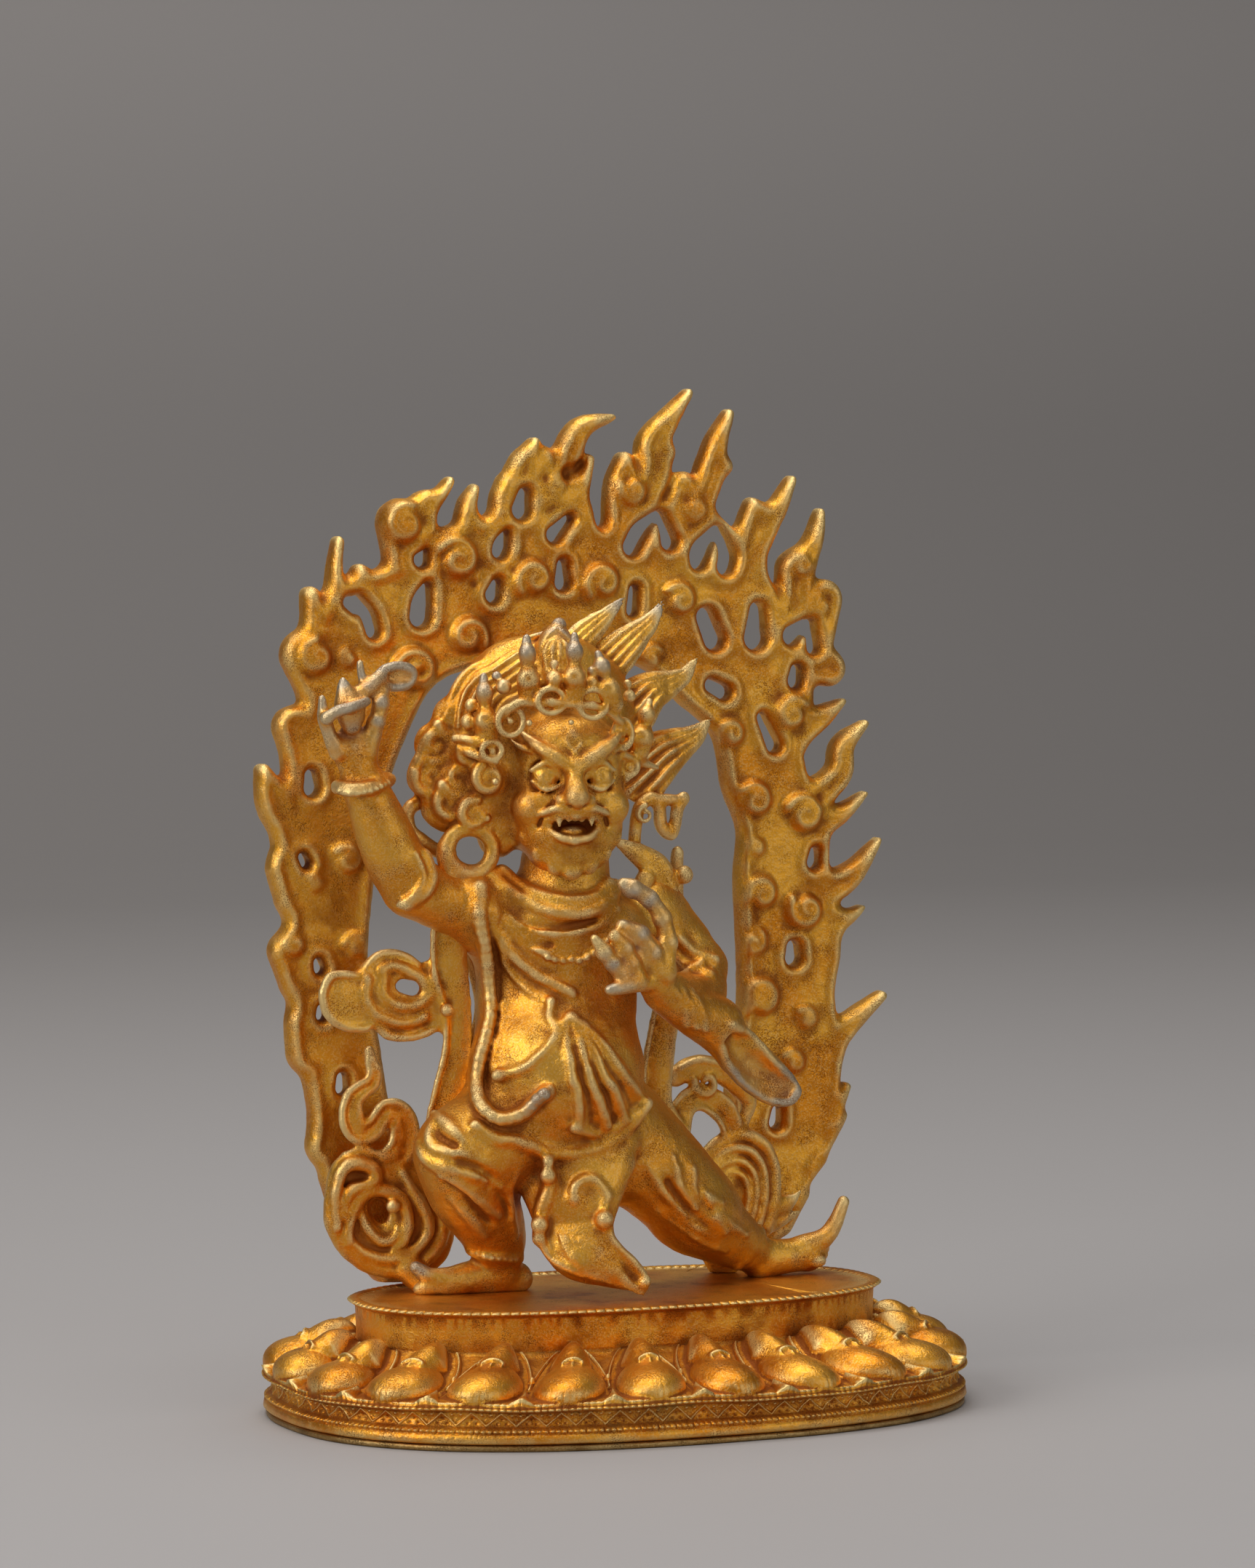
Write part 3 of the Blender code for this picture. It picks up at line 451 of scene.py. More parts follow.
def paint(piece: bpy.types.Object, name: str, values: Array) -> None:
    """Stores one number at each point of the piece, for its finish to read."""
    layer = piece.data.attributes.new(name, "FLOAT", "POINT")
    layer.data.foreach_set("value", np.ascontiguousarray(values, np.float32))


def cast(wax: Wax, name: str, triangles: int = MOST_TRIANGLES) -> bpy.types.Object:
    """Turns wax into a piece, with its edges and hollows stored for the finish, which paints highlight on
    the edges and shade in the hollows.
    """
    held = np.clip(wax.distance, -0.5, 0.5)
    wax.distance = blurred(held, 1, (0, 1, 2)) * SMOOTHING + held * (1 - SMOOTHING)
    piece = add_piece(name, *wax.surface())
    thinned(piece, triangles)
    points = corners_of(piece)
    paint(piece, "edge", wax.standing_out(points, EDGE_REACH))
    paint(piece, "hollow", -wax.standing_out(points, HOLLOW_REACH))
    LOG.info("%s: %d points", name, len(points))
    return piece


def mount(piece: bpy.types.Object, slot: str, *nodes: str) -> None:
    """Lets the piece stand for these solids of the model."""
    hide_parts(*nodes)
    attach(piece, "root")


# The flame arch


@dataclass
class FlameArch:
    """The flat cast arch of flames, with teardrop piercings, rolled rims and scroll bosses.

    It is drawn on the plane of its front in (x, z, half width), then given its thickness.
    """

    front: float = 5.6
    thickness: float = 1.4
    foot: float = 6.78
    pitch: float = 0.1
    edge_round: float = 0.42
    rim_height: float = 0.30
    rim_width: float = 0.24
    swell: float = 0.06
    outer: tuple[Row, ...] = (
        (11.8, 6.3), (13.2, 9.2), (14.7, 11.8), (16.0, 14.4), (16.7, 18.4), (16.2, 22.0), (16.6, 25.0),
        (15.9, 28.6), (15.7, 32.0), (14.2, 35.9), (14.8, 40.2), (12.9, 44.6), (11.3, 47.2), (8.3, 50.2),
        (4.8, 50.4), (1.6, 49.0), (0.6, 50.6), (-2.6, 50.9), (-6.0, 49.4), (-8.2, 49.0), (-10.6, 47.2),
        (-13.6, 46.2), (-15.6, 44.2), (-16.2, 40.0), (-17.2, 36.4), (-18.0, 32.0), (-17.5, 27.8),
        (-17.2, 22.8), (-16.2, 17.6), (-15.3, 12.6), (-13.8, 9.0), (-11.6, 6.3),
    )
    inner: tuple[Row, ...] = (
        (-8.2, 6.3), (-9.6, 10.5), (-11.0, 15.0), (-11.9, 20.1), (-12.6, 24.8), (-12.2, 29.6), (-11.6, 33.9),
        (-10.2, 37.6), (-8.4, 40.4), (-5.0, 41.4), (-0.6, 42.2), (4.0, 41.2), (6.6, 39.0), (8.6, 37.2),
        (9.3, 34.0), (10.2, 31.7), (10.0, 29.0), (10.2, 25.0), (10.2, 21.2), (9.4, 16.0), (9.9, 10.9),
        (10.2, 6.3),
    )
    licks: tuple[tuple[Row, ...], ...] = (
        ((-14.6, 15.6, 1.1), (-15.2, 14.6, 0.9)), ((-16.2, 19.8, 1.0), (-16.4, 21.4, 0.9)),
        ((-16.8, 24.0, 0.9), (-17.3, 25.6, 1.0)), ((-17.0, 28.6, 0.9), (-17.3, 30.2, 1.1)),
        ((-17.2, 32.4, 0.9), (-18.0, 33.8, 0.95), (-18.7, 35.6, 0.35)),
        ((-16.6, 36.2, 0.8), (-16.9, 38.0, 1.1)), ((-15.6, 40.6, 1.2), (-16.2, 42.0, 1.35)),
        ((-15.6, 43.6, 0.7), (-15.9, 45.3, 0.45)),
        ((-14.2, 45.0, 0.7), (-14.45, 46.6, 0.36), (-14.25, 48.3, 0.25)),
        ((-13.0, 45.6, 0.5), (-13.0, 46.7, 0.3)), ((-10.4, 47.2, 1.0), (-10.5, 49.3, 1.35)),
        ((-9.3, 49.2, 0.8), (-9.1, 50.5, 0.55)), ((-9.1, 50.3, 0.45), (-8.3, 50.8, 0.34), (-7.6, 51.7, 0.2)),
        ((-6.4, 48.6, 0.8), (-6.55, 50.2, 0.5), (-6.1, 51.3, 0.2)),
        ((-4.4, 49.4, 0.7), (-4.5, 50.8, 0.5), (-4.3, 51.6, 0.35)),
        ((-3.2, 50.2, 1.0), (-3.3, 52.2, 0.85), (-2.5, 53.9, 0.25)), ((-2.2, 51.4, 0.9), (-1.9, 53.1, 0.45)),
        ((-0.9, 51.2, 0.7), (-0.4, 53.4, 0.75), (0.5, 54.8, 0.55), (2.3, 55.35, 0.15)),
        ((0.0, 50.4, 0.6), (0.9, 53.0, 0.2)), ((3.0, 48.8, 1.1), (2.9, 51.2, 1.0), (3.0, 52.9, 0.45)),
        ((3.9, 50.2, 0.8), (4.8, 52.3, 0.95), (4.9, 54.0, 0.85), (5.8, 55.3, 0.55), (7.0, 56.8, 0.2)),
        ((6.3, 49.6, 1.0), (6.6, 51.6, 0.65)), ((4.9, 53.6, 0.8), (5.6, 53.4, 0.4)),
        ((7.4, 50.0, 0.9), (8.4, 52.2, 0.75), (8.7, 53.8, 0.6), (9.5, 55.6, 0.25)),
        ((8.4, 52.6, 0.6), (9.3, 52.6, 0.35)), ((10.6, 47.0, 1.1), (11.2, 49.3, 0.95), (11.0, 50.4, 0.4)),
        ((11.4, 49.0, 0.9), (12.5, 50.1, 0.55), (13.5, 51.9, 0.2)), ((13.5, 43.8, 0.9), (13.7, 46.8, 0.95)),
        ((13.9, 46.6, 0.8), (14.9, 48.4, 0.5), (15.3, 50.0, 0.2)), ((15.0, 42.0, 0.9), (15.5, 45.0, 1.1)),
        ((14.6, 41.2, 1.0), (15.8, 41.0, 1.0)), ((13.8, 37.4, 1.0), (15.4, 38.2, 0.6), (16.8, 39.1, 0.12)),
        ((14.8, 33.4, 0.9), (16.5, 34.9, 0.75), (16.8, 36.5, 0.6), (18.2, 37.8, 0.15)),
        ((14.9, 31.9, 0.9), (16.6, 32.5, 0.5), (18.2, 33.7, 0.12)),
        ((15.0, 28.0, 1.1), (17.2, 28.9, 0.7), (19.1, 31.0, 0.12)),
        ((15.8, 26.2, 0.9), (17.2, 26.6, 0.38), (18.1, 27.1, 0.1)),
        ((15.6, 19.0, 1.0), (17.3, 20.4, 0.6), (19.3, 21.9, 0.25)), ((15.8, 15.2, 0.8), (17.1, 16.7, 0.15)),
        ((15.2, 13.4, 0.8), (16.8, 15.0, 0.15)), ((13.6, 11.2, 0.8), (15.4, 12.4, 0.15)),
        ((12.8, 9.0, 0.8), (14.3, 10.5, 0.2)),
    )
    piercings: tuple[tuple[Row, ...], ...] = (
        ((-16.0, 35.3, 0.4), (-15.95, 34.6, 0.5)), ((-13.7, 44.9, 0.4), (-13.3, 44.7, 0.5)),
        ((-13.2, 45.1, 0.3), (-12.6, 44.2, 0.45), (-12.3, 43.3, 0.45)),
        ((-9.1, 45.8, 0.28), (-9.4, 44.9, 0.6), (-9.5, 44.1, 0.65)),
        ((-9.15, 47.75, 0.2), (-9.4, 47.3, 0.5)), ((-4.3, 48.8, 0.2), (-4.6, 48.1, 0.5), (-4.7, 47.8, 0.5)),
        ((-4.9, 45.9, 0.35), (-5.1, 45.3, 0.5)), ((-3.2, 51.0, 0.4), (-3.4, 50.1, 0.6)),
        ((-0.5, 49.6, 0.3), (-1.4, 48.7, 0.5)), ((-0.9, 47.0, 0.35), (-0.9, 46.0, 0.5)),
        ((5.0, 49.9, 0.25), (3.9, 48.9, 0.55), (3.35, 48.0, 0.55)), ((5.2, 49.8, 0.3), (5.7, 48.3, 0.55)),
        ((8.6, 49.0, 0.3), (7.7, 47.8, 0.65), (7.5, 47.2, 0.55)),
        ((8.9, 49.0, 0.3), (9.3, 47.6, 0.55), (9.2, 46.9, 0.55)), ((7.95, 44.0, 0.6), (8.5, 42.7, 0.65)),
        ((11.2, 44.4, 0.5), (11.1, 42.8, 0.75)), ((14.2, 43.5, 0.4), (13.4, 42.9, 0.6)),
        ((14.6, 43.6, 0.35), (14.75, 42.2, 0.45)), ((13.7, 40.9, 0.42), (13.6, 40.3, 0.5)),
        ((8.3, 40.1, 0.42), (9.1, 39.7, 0.5)), ((3.5, 45.6, 0.32), (3.4, 44.4, 0.4)),
        ((11.5, 38.2, 0.35), (12.25, 36.6, 0.48)), ((14.9, 30.4, 0.36), (14.8, 29.8, 0.46)),
        ((13.5, 24.9, 0.45), (13.5, 24.3, 0.55)), ((12.5, 15.5, 0.35), (12.4, 14.8, 0.45)),
        ((-16.5, 30.8, 0.3), (-16.3, 30.4, 0.32)), ((-15.6, 24.9, 0.3), (-15.5, 24.5, 0.36)),
        ((-15.4, 22.3, 0.3), (-15.4, 21.9, 0.36)), ((-14.2, 18.4, 0.35), (-14.2, 17.8, 0.42)),
    )
    # Scrolls: middle x and z, radius, angle where the band begins, and its turns, less than 0 clockwise
    scrolls: tuple[Row, ...] = (
        (-10.6, 49.3, 1.15, 60, 1.6), (-7.4, 47.3, 1.2, 150, -1.35), (-2.8, 46.2, 1.1, 225, -1.4),
        (-6.8, 43.0, 1.1, -30, 1.3), (-15.8, 41.9, 1.0, 90, 1.5), (-9.9, 41.1, 1.25, 180, -1.3),
        (1.4, 46.0, 1.1, 225, -1.4), (3.3, 51.2, 0.85, 150, 1.4), (7.2, 50.2, 0.75, 170, 1.3),
        (6.2, 45.0, 0.95, 150, -1.3), (13.8, 46.9, 0.75, 180, -1.2), (13.2, 38.4, 1.0, 30, 1.4),
        (9.4, 37.3, 0.9, 210, -1.2), (10.9, 33.5, 1.0, 150, -1.4), (14.0, 32.6, 1.15, 160, -1.4),
        (11.0, 30.7, 0.65, 200, -1.1), (11.3, 28.1, 1.0, 200, -1.5), (14.1, 27.1, 1.1, 140, 1.4),
        (10.8, 25.3, 0.8, 60, -1.2), (11.3, 22.1, 1.15, 220, -1.9), (14.2, 20.8, 0.7, 150, -1.3),
        (13.4, 18.3, 0.75, 160, -1.3), (4.4, 41.7, 0.75, 30, 1.2), (-14.0, 30.6, 0.85, 150, -1.4),
        (-15.8, 29.4, 0.6, 90, 1.2), (-13.5, 25.8, 0.75, 180, -1.3), (-17.1, 26.0, 0.75, 90, 1.2),
        (-13.9, 41.8, 0.6, 90, 1.1), (15.2, 44.6, 0.6, 90, 1.1), (-1.4, 51.7, 0.7, 200, 1.3),
    )
    pearls: tuple[Row, ...] = (
        (14.7, 17.2, 0.22), (3.5, 49.4, 0.13), (4.7, 46.6, 0.12), (-8.1, 44.1, 0.1), (10.8, 23.8, 0.12),
        (-12.3, 47.0, 0.14), (15.9, 40.3, 0.2),
    )
    seams: tuple[tuple[Row, ...], ...] = (
        ((8.7, 44.9, 0.05), (9.2, 45.45, 0.06), (10.0, 45.2, 0.05), (10.5, 44.5, 0.04)),
        ((5.4, 43.1, 0.07), (6.0, 43.4, 0.06), (6.8, 43.45, 0.05), (7.4, 42.9, 0.05)),
        ((5.4, 43.2, 0.05), (5.5, 42.7, 0.05), (5.1, 42.4, 0.04)),
    )

    # Casting faults: a torn hollow near the top and a pinhole, and the depth of each
    pits: tuple[tuple, ...] = (
        (((-0.6, 52.1, 0.45), (0.3, 52.7, 0.25)), 0.75), (((-6.4, 45.9, 0.13), (-6.3, 45.9, 0.13)), 0.6),
    )

    def stroke(self, axes: tuple[Array, Array], rows: Sequence[Row], room: float) -> tuple:
        """Distances in the plane from a tapering stroke.

        Args:
            axes: coordinates of the drawing's rows and columns.
            rows: x, z and half width along the stroke.
            room: how far beyond the stroke to reckon.

        Returns:
            The window of the drawing, the distance from the edge, and the share of the half width.
        """
        rows = np.asarray(rows, np.float32)
        curve = through(rows, 6) if len(rows) > 2 else rows
        reach = curve[:, 2].max() + room
        low, high = curve[:, :2].min(0) - reach, curve[:, :2].max(0) + reach
        where = tuple(slice(*np.searchsorted(axes[k], [low[k], high[k]])) for k in range(2))
        x, z = axes[0][where[0]][:, None], axes[1][where[1]][None]
        gap = np.full((x.shape[0], z.shape[1]), FAR * 3, np.float32)
        share = np.full_like(gap, FAR * 3)
        for a, b in zip(curve, curve[1:]):
            run = b[:2] - a[:2]
            along = np.clip(((x - a[0]) * run[0] + (z - a[1]) * run[1]) / (run @ run), 0, 1)
            off = np.hypot(x - a[0] - along * run[0], z - a[1] - along * run[1])
            half = a[2] + along * (b[2] - a[2])
            gap = np.minimum(gap, off - half)
            share = np.minimum(share, off / half)
        return where, gap, share

    def outline(self, axes: tuple[Array, Array]) -> Array:
        """Distance in the plane from the arch's edge: a smooth band, its flames and its piercings."""
        x, z = axes[0][:, None], axes[1][None]
        band = np.concatenate([through(np.array(self.outer), 5), through(np.array(self.inner), 5)])
        gap = np.full((x.shape[0], z.shape[1]), FAR * 9, np.float32)
        crossed = np.zeros(gap.shape, bool)
        for a, b in zip(band, np.roll(band, -1, axis=0)):
            run = b - a
            along = np.clip(((x - a[0]) * run[0] + (z - a[1]) * run[1]) / (run @ run + 1e-9), 0, 1)
            gap = np.minimum(gap, np.hypot(x - a[0] - along * run[0], z - a[1] - along * run[1]))
            if a[1] != b[1]:
                between = (a[1] > z) != (b[1] > z)
                crossed ^= between & (x < a[0] + (z - a[1]) / run[1] * run[0])
        gap = np.where(crossed, -gap, gap)
        for rows in self.licks:
            where, off, _ = self.stroke(axes, rows, 1.0)
            gap[where] = soft_join(gap[where], off - self.swell, 0.7)
        for rows in self.piercings:
            where, off, _ = self.stroke(axes, rows, 1.0)
            gap[where] = -soft_join(-gap[where], off + self.swell, 0.15)
        return gap

    def relief(self, axes: tuple[Array, Array], gap: Array) -> Array:
        """Height of the front above its plain face: rolled rims, scrolls, pearls and repair seams.

        A rim is a bell curve of the distance from the edge. A scroll is a half-round band on an
        Archimedes spiral that thickens to a boss at its middle, in a slight hollow of its own.
        """
        height = self.rim_height * np.exp(-(((-gap - self.edge_round) / self.rim_width) ** 2))
        for x, z, radius, start, turns in self.scrolls:
            share = np.linspace(0, 1, 22)
            angle = np.radians(start + 360 * turns * share)
            off = radius * (1 - 0.82 * share**0.9)
            half = radius * (0.22 + 0.18 * share**2)
            spiral = np.stack([x + off * np.cos(angle), z + off * np.sin(angle), half], axis=1)
            where, _, away = self.stroke(axes, [(x, z, radius), (x + 0.01, z, radius)], 0.6)
            height[where] -= 0.26 * np.exp(-((away / 0.85) ** 4))
            where, _, away = self.stroke(axes, spiral, 0.2)
            band = 0.76 * min(radius, 1.0) * np.sqrt(np.clip(1 - away**2, 0, 1))
            height[where] = np.maximum(height[where], band)
        for x, z, radius in self.pearls:
            where, _, away = self.stroke(axes, [(x, z, radius), (x + 0.01, z, radius)], 0.2)
            height[where] = np.maximum(height[where], radius * np.sqrt(np.clip(1 - away**2, 0, 1)))
        for rows in self.seams:
            where, _, away = self.stroke(axes, rows, 0.3)
            height[where] -= 0.12 * np.exp(-(away**2))
        for rows, depth in self.pits:
            where, _, away = self.stroke(axes, rows, 0.3)
            height[where] -= depth * np.exp(-(away**4))
        return height

    def build(self, finish: Gilding) -> bpy.types.Object:
        """Gives the drawing its thickness, with rounded edges, and dresses it."""
        back = self.front + self.thickness
        wax = Wax((-19.6, self.front - 0.9, self.foot - 0.5), (20.0, back + 0.4, 57.6), self.pitch)
        axes = (wax.axes[0], wax.axes[2])
        gap = self.outline(axes)
        height = self.relief(axes, gap)
        inward = np.clip(1 + gap / self.edge_round, 0, 1)
        shoulder = self.edge_round * (1 - np.sqrt(np.clip(1 - inward**2, 0, 1)))
        near = (self.front - blurred(height, 1, (0, 1)) + shoulder)[:, None, :]
        far = (back - 0.7 * shoulder)[:, None, :]
        y = wax.axes[1][None, :, None]
        wax.distance = np.maximum(np.maximum(near - y, y - far), gap[:, None, :]).astype(np.float32)
        wax.distance = np.maximum(wax.distance, (self.foot - wax.axes[2])[None, None, :])
        wax.roughen(CAST_GRAIN, 1)
        piece = cast(wax, "arch_of_flames")
        finish.dress(piece)
        mount(piece, "gilt_aureole", "flame_aureole")
        return piece


# The lotus base


def bell(values: Array, middle: float, width: float) -> Array:
    """A bell curve of this half width about middle, 1 at its top."""
    return np.exp(-(((values - middle) / width) ** 2))


@dataclass
class LotusBase:
    """The cast oval base: foot, zigzag band, a ring of double-lobed petals, wall and beaded lip."""

    length: float = 39.6
    depth: float = 28.2
    platform_length: float = 30.2
    platform_depth: float = 15.0
    squareness: float = 2.4
    bottom: float = 0.36
    top: float = 6.52
    rim: float = 2.38
    wall_foot: float = 4.36
    petals: int = 22
    petal_start: float = 0.8
    bulge: float = 1.55
    zigzags: int = 68
    columns: int = 2200
    zigzag_foot: float = 1.30
    zigzag_height: float = 0.76
    # Rows of beads: how many, height, half thickness and relief
    bead_rows: tuple[Row, ...] = ((330, 1.08, 0.11, 0.20), (300, 2.25, 0.10, 0.14), (146, 6.52, 0.13, 0.20))
    # Waves of the rim: height, how many and where they start
    waves: tuple[Row, ...] = ((0.06, 3, 0.13), (0.05, 8, 0.4), (0.03, 17, 0.7))
    # Height, share of the way in to the platform, outward shift and rows to the next station
    stations: tuple[Row, ...] = (
        (0.37, 0.0, -0.30, 3), (0.40, 0.0, -0.03, 3), (0.52, 0.0, 0.09, 5), (0.86, 0.0, 0.04, 3),
        (0.94, 0.0, -0.10, 4), (1.08, 0.0, -0.06, 4), (1.22, 0.0, -0.18, 3), (1.30, 0.0, -0.34, 9),
        (1.66, 0.0, -0.46, 9), (2.04, 0.0, -0.36, 3), (2.12, 0.0, -0.10, 3), (2.24, 0.0, 0.10, 4),
        (2.34, 0.0, 0.02, 3), (2.38, 0.02, -0.02, 88), (4.36, 1.0, -0.04, 3), (4.43, 1.0, -0.02, 9),
        (5.50, 1.0, 0.00, 6), (6.26, 1.0, 0.04, 3), (6.34, 1.0, 0.20, 4), (6.50, 1.0, 0.36, 4),
        (6.63, 1.0, 0.20, 3), (6.64, 1.0, -0.10, 3), (6.52, 1.0, -0.35, 14),
    )

    def oval(self, share: Array, length: Array, depth: Array) -> Array:
        """Points of a squared oval at shares of its arc, one row of points to each length and depth.

        The oval is a superellipse: its cosine and sine are raised to 2 over the squareness. The
        shares are turned to angles on the full-size oval, whose arc is summed in short chords.
        """
        turn = np.linspace(0, 2 * math.pi, 2881)
        power = 2 / self.squareness
        cosine = np.sign(np.cos(turn)) * np.abs(np.cos(turn)) ** power
        sine = np.sign(np.sin(turn)) * np.abs(np.sin(turn)) ** power
        rows = []
        for long, deep in zip(length, depth):
            x, y = long / 2 * cosine, deep / 2 * sine
            run = np.concatenate([[0], np.cumsum(np.hypot(np.diff(x), np.diff(y)))])
            along = (share % 1) * run[-1]
            rows.append(np.stack([np.interp(along, run, x), np.interp(along, run, y)], axis=1))
        return np.stack(rows, axis=1)

    def petal_relief(self, across: Array, inward: Array) -> Array:
        """Height of one petal above the slope, which repeats round the base.

        Two domes of an ellipsoid's section, the upper one smaller and narrowed to the wall, run into
        each other by the fourth root of the sum of their fourth powers. A curled tongue lies where
        they meet. Behind them are the raised outline of the leaf, which dips to a bead between
        petals, and a pointed tip between petals at the rim.

        Args:
            across: place across the petal, from -0.5 to 0.5.
            inward: share of the way up the slope, from the rim to the wall.

        Returns:
            Heights in millimetres.
        """
        side = np.abs(across)
        gap = 0.5 - side
        narrow = 0.30 * (1 - 0.55 * np.clip((inward - 0.70) / 0.28, 0, 1))
        lower = np.sqrt(np.clip(1 - (side / 0.44) ** 2 - ((inward - 0.36) / 0.36) ** 2, 0, 1))
        upper = np.sqrt(np.clip(1 - (side / narrow) ** 2 - ((inward - 0.72) / 0.27) ** 2, 0, 1))
        egg = self.bulge * (lower**4 + (1.05 * upper) ** 4) ** 0.25
        bar = bell(inward, 0.56 - 0.9 * across**2, 0.024) * np.clip((0.15 - side) / 0.03, 0, 1)
        ends = bell(np.hypot((side - 0.13) * 1.4, inward - 0.535), 0, 0.032)
        stem = bell(across, 0, 0.03) * np.clip(1 - np.abs(inward - 0.50) / 0.06, 0, 1)
        egg += 0.20 * np.maximum(np.maximum(bar, ends), 0.8 * stem)
        leaf = 0.50 * np.clip(1 - (np.clip(inward - 0.44, 0, 1) / 0.58) ** 1.8, 0, 1) ** 0.5
        height = np.maximum(egg, 0.22 * np.clip((leaf - side) / 0.05, 0, 1))
        height = np.maximum(height, 0.32 * bell(leaf - side, 0.0, 0.020) * (inward > 0.40))
        tip = np.clip(1 - gap / (0.15 * np.clip((0.24 - inward) / 0.22, 0, 1) + 1e-3), 0, 1)
        height = np.maximum(height, 0.66 * np.sqrt(tip) * (inward < 0.24))
        bead = np.clip(1 - (gap / 0.045) ** 2 - ((inward - 0.55) / 0.035) ** 2, 0, 1)
        return np.maximum(height, 0.55 * np.sqrt(bead))

    def zigzag_relief(self, share: Array, upward: Array) -> Array:
        """Height of the band: a zigzag line, with pits in its upright triangles and dots between them."""
        along = (share * self.zigzags) % 1 - 0.5
        height = 0.11 * bell(upward, 0.92 - 1.7 * np.abs(along), 0.085)
        for x, z in ((-0.15, 0.2), (0.15, 0.2), (0.0, 0.52)):
            height = height - 0.10 * bell(np.hypot(along - x, (upward - z) * 0.75), 0, 0.055)
            other = 0.5 - np.abs(along)
            height = height + 0.07 * bell(np.hypot(other - abs(x), (1 - upward - z) * 0.75), 0, 0.055)
        return height

    def build(self, finish: Gilding) -> bpy.types.Object:
        """Carries the profile round the oval, raises the relief off the slope and dresses it."""
        share = (np.arange(self.columns) / self.columns).astype(np.float32)
        rows = []
        for first, second in zip(self.stations, self.stations[1:]):
            step = np.arange(int(first[3])) / first[3]
            rows += [[a + k * (b - a) for a, b in zip(first[:3], second[:3])] for k in step]
        rows.append(list(self.stations[-1][:3]))
        height, inward, shift = (np.array(column, np.float32) for column in zip(*rows))
        slope = (height > self.rim - 0.03) & (height < self.wall_foot)
        height = height - 0.42 * np.sin(np.clip(inward, 0, 1) * math.pi) * slope
        length = self.length - (self.length - self.platform_length) * inward + 2 * shift
        depth = self.depth - (self.depth - self.platform_depth) * inward + 2 * shift
        flat = self.oval(share, length, depth)
        ahead = np.roll(flat, -1, axis=0) - np.roll(flat, 1, axis=0)
        normal = np.stack([ahead[..., 1], -ahead[..., 0]], axis=-1)
        normal /= np.linalg.norm(normal, axis=-1, keepdims=True)

        around, up = share[:, None], height[None]
        across = (around * self.petals - self.petal_start + 0.5) % 1 - 0.5
        on_slope = (slope * np.clip((1 - inward) / 0.04, 0, 1))[None]
        relief = self.petal_relief(across, np.broadcast_to(inward, (self.columns, len(inward)))) * on_slope
        band = ((height > 1.29) & (height < 2.06))[None]
        relief = relief + self.zigzag_relief(around, (up - self.zigzag_foot) / self.zigzag_height) * band
        for count, level, thick, size in self.bead_rows:
            wave = np.sqrt(np.clip(1 - (2 * ((around * count) % 1) - 1) ** 2, 0, 1))
            relief = relief + size * (wave - 0.4) * bell(up, level, thick)
        lean = np.where(slope, 0.88, 0.12)[None]
        wander = sum(size * np.sin(2 * math.pi * (count * around + start))
                     for size, count, start in self.waves)
        loose = np.clip((up - 1.0) / 1.2, 0, 1) * np.clip((4.5 - up) / 1.2, 0, 1)
        rise = relief * lean + wander * loose
        points = np.concatenate([flat + normal * (relief * np.sqrt(1 - lean**2)
                                                  + 0.4 * wander * loose)[..., None],
                                 (up + rise)[..., None]], axis=-1)

        # Rings that close the platform to a point
        inner = points[:, -1:, :2] * (1 - np.arange(1, 9)[:, None] / 9)
        inner = np.concatenate([inner, np.full(inner.shape[:2] + (1,), self.top)], axis=-1)
        points = np.concatenate([points, inner], axis=1)
        points[..., 2] = np.maximum(points[..., 2], self.bottom)
        piece = carried_round("lotus_pedestal", points, self.bottom, self.top)

        # Edges and hollows for the finish: painted highlight on the raised relief and on the rolled lip of
        # each moulding, painted shade in the hollows, in the grooves between the mouldings and across the
        # zigzag band
        fine = relief - blurred(relief, 2, (0, 1), wrap=True)
        broad = blurred(relief, 12, (0, 1), wrap=True) - relief
        groove_shade = 0.14 * (bell(up, 0.95, 0.06) + bell(up, 1.25, 0.08) + bell(up, 2.08, 0.06)
                          + bell(up, 4.38, 0.14) + bell(up, 6.28, 0.06)) + 0.08 * band
        lip_highlight = 0.16 * (bell(up, 0.62, 0.20) + bell(up, 2.25, 0.08) + bell(up, 6.52, 0.09))
        extra = points.shape[1] - relief.shape[1]
        edge = np.pad(np.clip(2.2 * fine, -0.3, 0.3) + lip_highlight, ((0, 0), (0, extra)))
        hollow = np.pad(np.clip(0.28 * broad, -0.2, 0.3) + groove_shade, ((0, 0), (0, extra)))
        paint(piece, "edge", np.append(edge.ravel(), (0, 0)))
        paint(piece, "hollow", np.append(hollow.ravel(), (0, 0)))
        thinned(piece)
        LOG.info("lotus_pedestal: %d points", len(piece.data.vertices))
        finish.dress(piece)
        mount(piece, "gilt_base", "lotus_base")
        return piece


